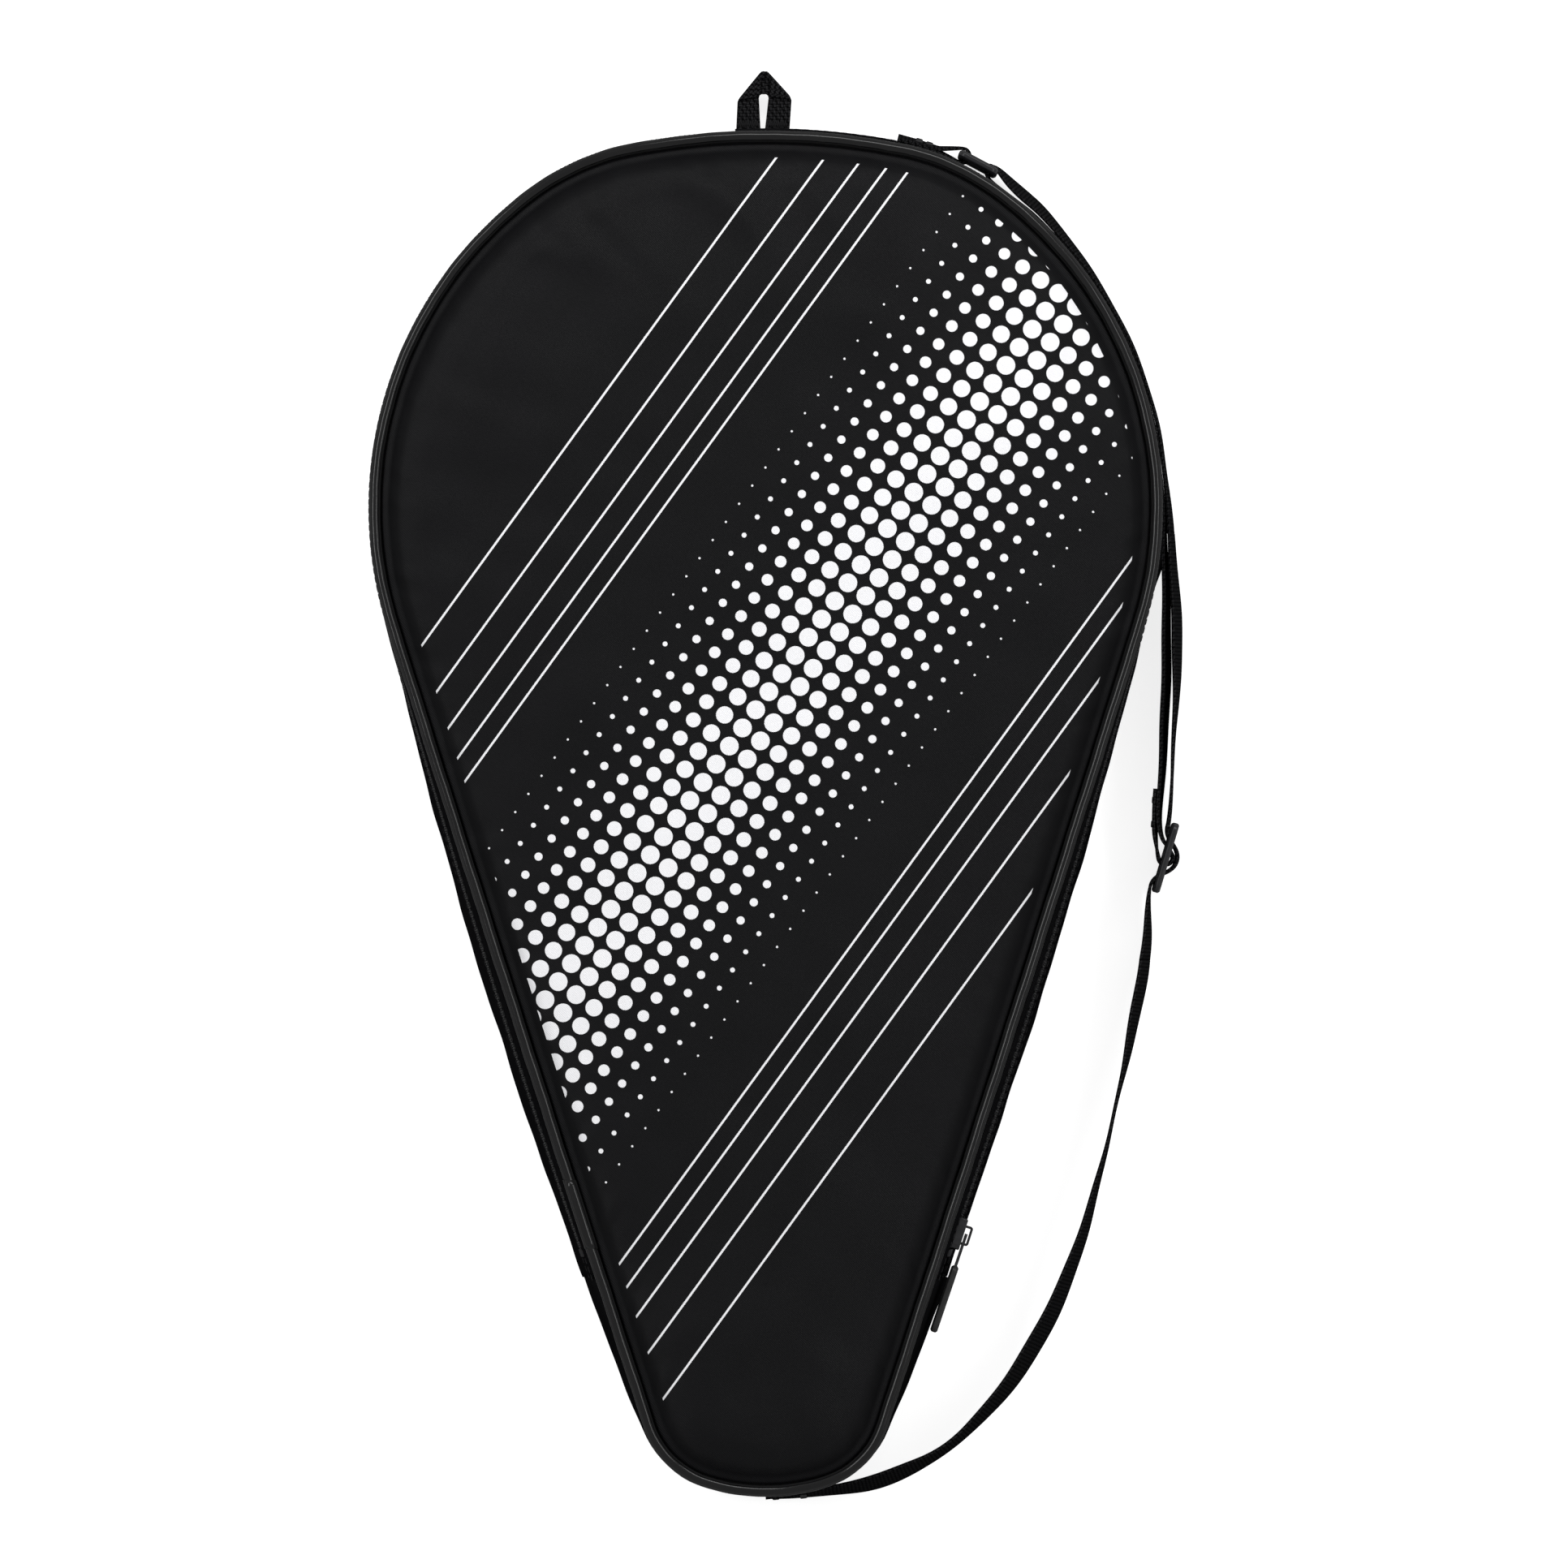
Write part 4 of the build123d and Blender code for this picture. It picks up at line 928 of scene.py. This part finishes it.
rings, depths, _ = panel_grid(FRONT_SEAM_Z, SEAM_FREE + 3.2, 4.0)
top = PANEL_BASE_Z + np.interp(depths, [0.0, 7.0, 20.8, 200.0], [0.15, 1.9, 3.55, 3.55])
sag = 0.35 * soft_noise(rings, 22.0, 5.0) * np.clip(depths / 12.0, 0.0, 1.0)
over_fold(
    panel_piece("front_inside", "lining", None, rings, depths, top - 0.05, top - 0.85 + sag),
    "front_lining", "pocket_lining",
)

rings, depths, _ = panel_grid(BACK_SEAM_Z, SEAM_FREE, 4.0)
top = np.full(depths.shape, BACK_T - 0.65)
under = np.interp(depths, [0.0, 0.25, 2.0, 6.0, 13.0, 200.0], [4.1, 3.6, 2.8, 1.2, 0.05, 0.0])
fold = 0.3 * soft_noise(rings, 30.0, 11.0) * np.exp(-(((depths - 7.0) / 5.0) ** 2))
under = np.maximum(under + fold, 0.0)
back_cover = panel_piece("back_cover", "shell_cloth", None, rings, depths, top, under)
on_case(back_cover, "back_skin", "back_foam")

rings, depths, _ = panel_grid(BACK_SEAM_Z, SEAM_FREE + 0.8, 4.0)
top = BACK_T - 0.15 + 0.15 * soft_noise(rings, 24.0, 14.0)
under = np.full(depths.shape, BACK_T - 0.6)
on_case(panel_piece("back_inside", "lining", None, rings, depths, top, under), "back_lining")


# ---------------------------------------------------------------- piping
PIPING_SIDES = 12


def cord_profile(z, radius):
    """A piping's round section about the middle of its seam."""
    turns = [2 * math.pi * step / PIPING_SIDES for step in range(PIPING_SIDES)]
    return [(PIPING_INSET - radius * math.cos(t), z + radius * math.sin(t)) for t in turns]


def piping_wobble(along, _points, _z):
    return ripple(along, (37.0, 0.07, 0.0), (11.9, 0.04, 1.0)), ripple(along, (29.0, 0.05, 2.0))


def piping(home, name, nodes, z, spacing, radius=PIPING_R, **more):
    profile = cord_profile(z, radius)
    home(band_piece(name, "piping_vinyl", profile, spacing, seam_z=z, **more), *nodes)


SLEEVE_ENDS = ((-155.5, True), (-131.0, True))
both_pipings = ("front_piping", "pocket_piping")
piping(over_fold, "front_edge", both_pipings, FRONT_SEAM_Z, 2.6, wobble=piping_wobble)
piping(on_case, "back_edge", ["back_piping"], BACK_SEAM_Z, 2.6)
piping(
    over_fold, "edge_sleeve", ["piping_join_sleeve"], FRONT_SEAM_Z, 2.0, PIPING_R + 0.3,
    ends=SLEEVE_ENDS,
)


# ---------------------------------------------------------------- gusset and bindings
# Where the gusset's right side bags out, as (how far, middle y, reach, power): beside the toe,
# where the strap draws it out, and in one fold below that.
BULGES = ((1.3, -192.0, 30.0, 2), (0.4, 165.0, 62.0, 4), (1.9, 92.0, 9.0, 2))
LEFT_SLACK = 0.9


def slack(points):
    """How far the gusset bags out at each point, fading towards the cover's middle."""
    x, y = points[:, 0], points[:, 1]
    right, left = np.clip(x / 40.0, 0.0, 1.0), np.clip(-x / 40.0, 0.0, 1.0)
    total = LEFT_SLACK * left * np.clip((40.0 - y) / 90.0, 0.0, 1.0)
    for height, middle, reach, power in BULGES:
        total = total + height * right * np.exp(-(((y - middle) / reach) ** power))
    return total


def gusset_wobble(along, points, z):
    """The gusset's soft upright folds, fading at its seams."""
    top = ZIP_LOW if points[:, 1].max() > 0 else GUSSET_HIGH
    hold = math.sin(math.pi * np.clip((z - GUSSET_LOW) / (top - GUSSET_LOW), 0.0, 1.0))
    broad, narrow = (61.0, 0.3, 0.5 + 0.05 * z), (34.0, 0.22, 1.7 - 0.04 * z)
    return hold * (slack(points) + 0.6 * ripple(along, broad, narrow, (19.0, 0.1, 0.2))), 0.0


def strip_wobble(along, _points, _z):
    return 0.0, ripple(along, (26.0, 0.06, 1.0))


def cloth_band(home, name, nodes, profile, spacing, ends, wobble=None):
    piece = band_piece(
        name, "shell_cloth", profile, spacing, ends, wobble=wobble, look="side_cloth"
    )
    home(piece, *nodes)


def tape_band(home, name, nodes, profile, spacing, ends=None):
    home(band_piece(name, "tape", profile, spacing, ends), *nodes)


band_wall = wall(GUSSET_LOW, ZIP_LOW, 0.0, GUSSET_T, hem_high=4.5)
end_wall = wall(GUSSET_LOW, GUSSET_HIGH, 0.0, GUSSET_T)
strip_wall = wall(ZIP_HIGH, GUSSET_HIGH, 0.0, GUSSET_T)
both_strips = ("front_strip", "pocket_strips")
cloth_band(on_case, "gusset", ["gusset_band"], band_wall, 3.0, ABOVE_ZIP_END, gusset_wobble)
cloth_band(on_case, "toe_wall", ["toe_gusset"], end_wall, 3.0, BELOW_ZIP_END, gusset_wobble)
cloth_band(over_fold, "upper_strip", both_strips, strip_wall, 3.0, ABOVE_ZIP_END, strip_wobble)

BINDING_T = 2.4
back_fold = wall(6.25, 14.0, TAPE_IN, BINDING_T)
front_fold = wall(GUSSET_HIGH - 3.0, GUSSET_HIGH, 2.3, BINDING_T)
lower_tape = wall(28.8, 37.25, TAPE_IN, TAPE_T)
upper_tape = wall(38.75, GUSSET_HIGH, TAPE_IN, TAPE_T)
both_bindings = ("front_binding", "pocket_binding")
both_tapes = ("zipper_tape_front", "pocket_zipper_tapes")
tape_band(on_case, "back_seam_binding", ["back_binding"], back_fold, 4.0)
tape_band(over_fold, "front_seam_binding", both_bindings, front_fold, 4.0)
tape_band(on_case, "zipper_tape_lower", ["zipper_tape_back"], lower_tape, 4.0, ABOVE_ZIP_END)
tape_band(over_fold, "zipper_tape_upper", both_tapes, upper_tape, 3.0, ABOVE_ZIP_END)

# ---------------------------------------------------------------- zipper teeth
TOOTH_PITCH = 1.7
TEETH_ENDS = ((CHAIN_END_Y, True), (CHAIN_END_Y, False))


def teeth_row(name, z, shift):
    """One row of coil teeth, each a rounded bar that reaches past the chain's middle."""
    bar, faces = bar_shape(3.1, 1.0, 1.9)
    shape = [(across, out, along) for along, across, out in bar]
    side_r, base = side_radius(ZIP_Z), lean(ZIP_Z) + 0.35
    shares = stations(side_r, base, TOOTH_PITCH, TEETH_ENDS)
    shares = (shares + shift * (shares[1] - shares[0]))[:-1]
    return scatter(name, "zipper_teeth", shape, faces, *round_frames(side_r, base, shares, z), UP)


on_case(teeth_row("teeth_lower", 36.85, 0.0), "zipper_coil_back")
over_fold(teeth_row("teeth_upper", 39.15, 0.5), "zipper_coil_front", "pocket_zipper_coils")

# ---------------------------------------------------------------- stitching
hem_rows = (ZIP_LOW - 3.6, ZIP_LOW - 1.2)
on_case(stitch_rows("gusset_stitches", -0.34, hem_rows, ABOVE_ZIP_END))
over_fold(stitch_rows("strip_stitches", -0.08, [ZIP_HIGH + 1.1], ABOVE_ZIP_END))


# ---------------------------------------------------------------- sewn webbing and its patch
FACING_ENDS, FACING_STITCH_ENDS = ((-11.0,), (47.0,)), ((-9.5,), (45.5,))
FACING_LOW, FACING_HIGH, FACING_T = 8.7, 32.0, 0.9
FACING_OUT = -0.25 - FACING_T
TAB_START, TAB_WAY = np.array([49.325, 241.242]), np.array([0.97412, -0.22602])
TAB_SIDE, TAB_SEWN, TAB_PROUD, TAB_LEAN = np.array([0.22602, 0.97412]), 13.0, 0.6, 6.0
TAB_TUCK, TAB_LAYER = 2.2, 0.62  # how far it starts behind its seam, and each layer's place
NEAR_BAR, BAR_LOOP_R = np.array([70.654, 236.293]), 2.64
STITCHED_W = WEB_W - 4.0

facing = wall(FACING_LOW, FACING_HIGH, FACING_OUT, FACING_T, hem_low=3.0, hem_high=3.0)
cloth_band(on_case, "sewn_patch", ["gusset_facing"], facing, 2.0, FACING_ENDS)
facing_rows = (FACING_LOW + 1.6, FACING_HIGH - 1.6)
on_case(stitch_rows("patch_stitches", FACING_OUT - 0.15, facing_rows, FACING_STITCH_ENDS))


def tab_path():
    """The middle of the ring tab's webbing: out, round the ring's bar and back."""
    turns = np.radians(np.arange(105.0, -106.0, -15.0))
    foot = TAB_START + TAB_WAY * TAB_SEWN
    near = TAB_START - TAB_WAY * TAB_TUCK + TAB_SIDE * TAB_PROUD
    middle = TAB_START + TAB_WAY * 5 + TAB_SIDE * TAB_PROUD
    out = [place + TAB_SIDE * TAB_LAYER for place in (near, middle, foot)]
    turn = [NEAR_BAR + BAR_LOOP_R * (TAB_WAY * math.cos(a) + TAB_SIDE * math.sin(a)) for a in turns]
    back = [place - TAB_SIDE * TAB_LAYER for place in (foot, middle, near)]
    corners = np.array(out + turn + back)
    along = lengths(corners)
    steps = np.linspace(0.0, along[-1], 60)
    level = [np.interp(steps, along, corners[:, side]) for side in (0, 1)]
    return np.column_stack([*level, np.full(len(steps), STRAP_Z)])


tab_line = tab_path()
from_bar = np.linspace(-1.0, 1.0, len(tab_line))
tab_lean = TAB_LEAN * np.sign(from_bar) * np.sqrt(np.abs(from_bar))
on_case(ribbon("tab_webbing", tab_line, tab_lean), "ring_tab")


def tacks_on(name, line, lean_by_point, starts, face):
    """Bartacks on one face of a leaning webbing, these lengths along its line."""
    along = lengths(line)
    way, out, up = leaning(line, lean_by_point)
    picks = [int(np.argmin(np.abs(along - start))) for start in starts]
    bases = line[picks] + out[picks] * face
    outs = out[picks] * math.copysign(1.0, face)
    return tacks(name, bases, way[picks], outs, up[picks], STITCHED_W)


# The tab's outer layer is on the left of its way out, and the strap's tail ends inside its run.
on_case(tacks_on("tab_tacks", tab_line, tab_lean, (7.3, 11.9), -0.75), "ring_tab_bartacks")
on_case(tacks_on("toe_tacks", strap_line, strap_lean, (3.0, 15.0), 0.8), "toe_bartacks")
tail_starts = (run_length[-1] - 12.5, run_length[-1] - 4.5)
tail = tacks_on("tail_tacks", strap_line, strap_lean, tail_starts, -0.8)
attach(tail, "triglide")
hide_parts("strap_end_bartacks")

LOOP_LOW, LOOP_T = 6.95, 1.4
# The loop's outline from the crown's highest point: outside from left to right, and back inside.
LOOP_LEGS = [(-10.8, -2.0), (-10.2, 11.6), (-9.6, 12.8), (-1.9, 22.0), (-0.6, 22.6), (0.5, 22.4)]
LOOP_LEGS += [(8.6, 13.6), (9.3, 12.2), (8.3, -2.0), (-0.5, -2.0), (-0.3, 1.5), (1.0, 13.2)]
LOOP_LEGS += [(0.5, 14.2), (-2.0, 14.2), (-2.5, 13.2), (-1.9, 1.5), (-1.9, -2.0)]
LEFT_FLAP = [(-10.0, 11.9), (-9.4, 13.0), (-1.8, 22.3), (-0.4, 22.6), (-0.3, 20.3), (-1.6, 19.6)]
LEFT_FLAP += [(-2.0, 15.4), (-2.6, 13.4)]
RIGHT_FLAP = [(1.1, 13.4), (1.5, 15.2), (1.3, 19.8), (-0.1, 20.4), (-0.2, 22.6), (0.7, 22.4)]
RIGHT_FLAP += [(8.7, 13.6), (9.1, 12.4)]


def round_edges(build, edges, size):
    bmesh.ops.bevel(
        build, geom=edges, offset=size * MM, segments=3, profile=0.5, affect="EDGES",
        clamp_overlap=True,
    )


def finish_mesh(name, slot, build, mesh):
    """The built mesh as a smooth piece whose broad faces stay flat."""
    for face in build.faces:
        face.smooth = True
    build.to_mesh(mesh)
    build.free()
    mesh.materials.append(LOOKS[slot])
    piece = add_object(name, mesh)
    piece.modifiers.new("facets", "WEIGHTED_NORMAL").keep_sharp = True
    return piece


def slab(name, shape, layer, turn=0.0):
    """A flat strip of webbing in this layer from the crown's face, its weave turned by degrees."""
    low = (LOOP_LOW + layer * LOOP_T) * MM
    corners = np.array(shape + shape[:1])
    along = lengths(corners)
    steps = np.arange(0.0, along[-1] - 0.3, 0.9)
    points = np.column_stack([np.interp(steps, along, corners[:, side]) for side in (0, 1)])
    build = bmesh.new()
    base = build.faces.new([build.verts.new((x * MM, (TOP_Y + y) * MM, low)) for x, y in points])
    grown = bmesh.ops.extrude_face_region(build, geom=[base])["geom"]
    moved = [part for part in grown if isinstance(part, bmesh.types.BMVert)]
    bmesh.ops.translate(build, verts=moved, vec=(0.0, 0.0, LOOP_T * MM))
    bmesh.ops.recalc_face_normals(build, faces=build.faces)
    rims = [e for e in build.edges if abs(e.verts[0].co.z - e.verts[1].co.z) < 1e-7]
    round_edges(build, rims, 0.35)
    bmesh.ops.triangulate(build, faces=[face for face in build.faces if len(face.verts) > 4])
    flat = build.loops.layers.uv.new("flat")
    cos, sin = math.cos(math.radians(turn)), math.sin(math.radians(turn))
    for face in build.faces:
        for corner in face.loops:
            x, y, z = corner.vert.co
            corner[flat].uv = (x * cos + y * sin + z, y * cos - x * sin)
    return finish_mesh(name, "webbing", build, bpy.data.meshes.new(name))


on_case(slab("loop_legs", LOOP_LEGS, 0), "hang_loop")
on_case(slab("loop_fold_left", LEFT_FLAP, 1, 48.0))
on_case(slab("loop_fold_right", RIGHT_FLAP, 1, -48.0))
legs = np.array([(x, TOP_Y + 3.5, LOOP_LOW + LOOP_T + 0.1) for x in (-6.2, 3.9)])
x_ways, y_ways = np.array([[1.0, 0.0, 0.0]] * 2), np.array([[0.0, 1.0, 0.0]] * 2)
on_case(tacks("loop_tacks", legs, y_ways, UP.repeat(2, 0), x_ways, 7.0), "hang_loop_bartacks")


# ---------------------------------------------------------------- hard pieces, from their solids
SHARP = math.radians(20.0)


def smooth_copy(node, name, slot, body, bevel):
    """A copy of a solid's mesh with its facets merged and its edges rounded."""
    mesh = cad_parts[node].data.copy()
    mesh.materials.clear()
    build = bmesh.new()
    build.from_mesh(mesh)
    bmesh.ops.remove_doubles(build, verts=build.verts, dist=2e-6)
    bmesh.ops.dissolve_limit(
        build, angle_limit=math.radians(2.0), verts=build.verts, edges=build.edges
    )
    sharp = [e for e in build.edges if e.is_manifold and e.calc_face_angle(0.0) > SHARP]
    round_edges(build, sharp, bevel)
    piece = finish_mesh(name, slot, build, mesh)
    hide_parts(node)
    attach(piece, body)


for copied in (
    ("strap_ring", "ring_moulding", "fitting_plastic", "strap_ring", 0.28),
    ("triglide", "triglide_moulding", "fitting_plastic", "triglide", 0.22),
    ("slider_body", "slider_casting", "slider_metal", "zipper_slider", 0.12),
    ("pull_tab", "pull_plate", "slider_metal", "zipper_pull", 0.15),
    ("pull_grip", "pull_moulding", "pull_rubber", "zipper_pull", 0.2),
    ("zipper_stops", "zipper_clamps", "slider_metal", "case", 0.15),
):
    smooth_copy(*copied)


# ---------------------------------------------------------------- floor, world and lamps
def lit_white(name, base, glow):
    """A pale surface that the camera and reflections see as white, with its shadows kept."""
    material = bpy.data.materials.new(name)
    material.use_nodes = True
    tree = material.node_tree
    shader = tree.nodes["Principled BSDF"]
    shader.inputs["Base Color"].default_value = (base, base, base, 1.0)
    shader.inputs["Roughness"].default_value = 0.9
    shader.inputs["Specular IOR Level"].default_value = 0.1
    shader.inputs["Emission Color"].default_value = (1.0, 1.0, 1.0, 1.0)
    tree.links.new((seen(tree) * glow).socket, shader.inputs["Emission Strength"])
    return material


def seen(tree):
    """1 for rays from the camera, and through or off glossy surfaces."""
    path = tree.nodes.new("ShaderNodeLightPath")
    rays = [Wire(tree, path.outputs[name]) for name in ("Is Camera Ray", "Is Glossy Ray")]
    return rays[0].math("MAXIMUM", rays[1]).math(
        "MAXIMUM", Wire(tree, path.outputs["Is Transmission Ray"])
    )


FLOOR_HALF, FLOOR_LOW = 4.0, 0.0003
floor_mesh = bpy.data.meshes.new("floor")
floor_mesh.from_pydata(
    [(x * FLOOR_HALF, y * FLOOR_HALF, -FLOOR_LOW) for x, y in ((-1, -1), (1, -1), (1, 1), (-1, 1))],
    [],
    [(0, 1, 2, 3)],
)
floor_mesh.materials.append(lit_white("floor_white", 0.5, 0.82))
add_object("floor", floor_mesh)

WORLD_LEVEL = 0.22
world = bpy.data.worlds.new("studio")
world.use_nodes = True
scene.world = world
sky = world.node_tree.nodes["Background"]
sky.inputs["Color"].default_value = (1.0, 1.0, 1.0, 1.0)
level = seen(world.node_tree).ramp(0.0, 1.0, WORLD_LEVEL, 1.0)
world.node_tree.links.new(level.socket, sky.inputs["Strength"])


def lamp(name, place, power, long, short):
    """A soft box that looks at the cover, with its long side level."""
    light = bpy.data.lights.new(name, "AREA")
    light.shape = "RECTANGLE"
    light.energy = power
    light.size, light.size_y = long, short
    holder = add_object(name, light)
    holder.location = place
    holder.rotation_euler = (-Vector(place)).to_track_quat("-Z", "Y").to_euler()


lamp("left_box", (-1.25, 0.45, 1.75), 21.0, 1.6, 0.4)
lamp("right_box", (1.3, 0.2, 1.85), 16.0, 1.6, 0.4)
lamp("top_box", (0.3, 1.0, 1.0), 9.0, 0.9, 0.3)
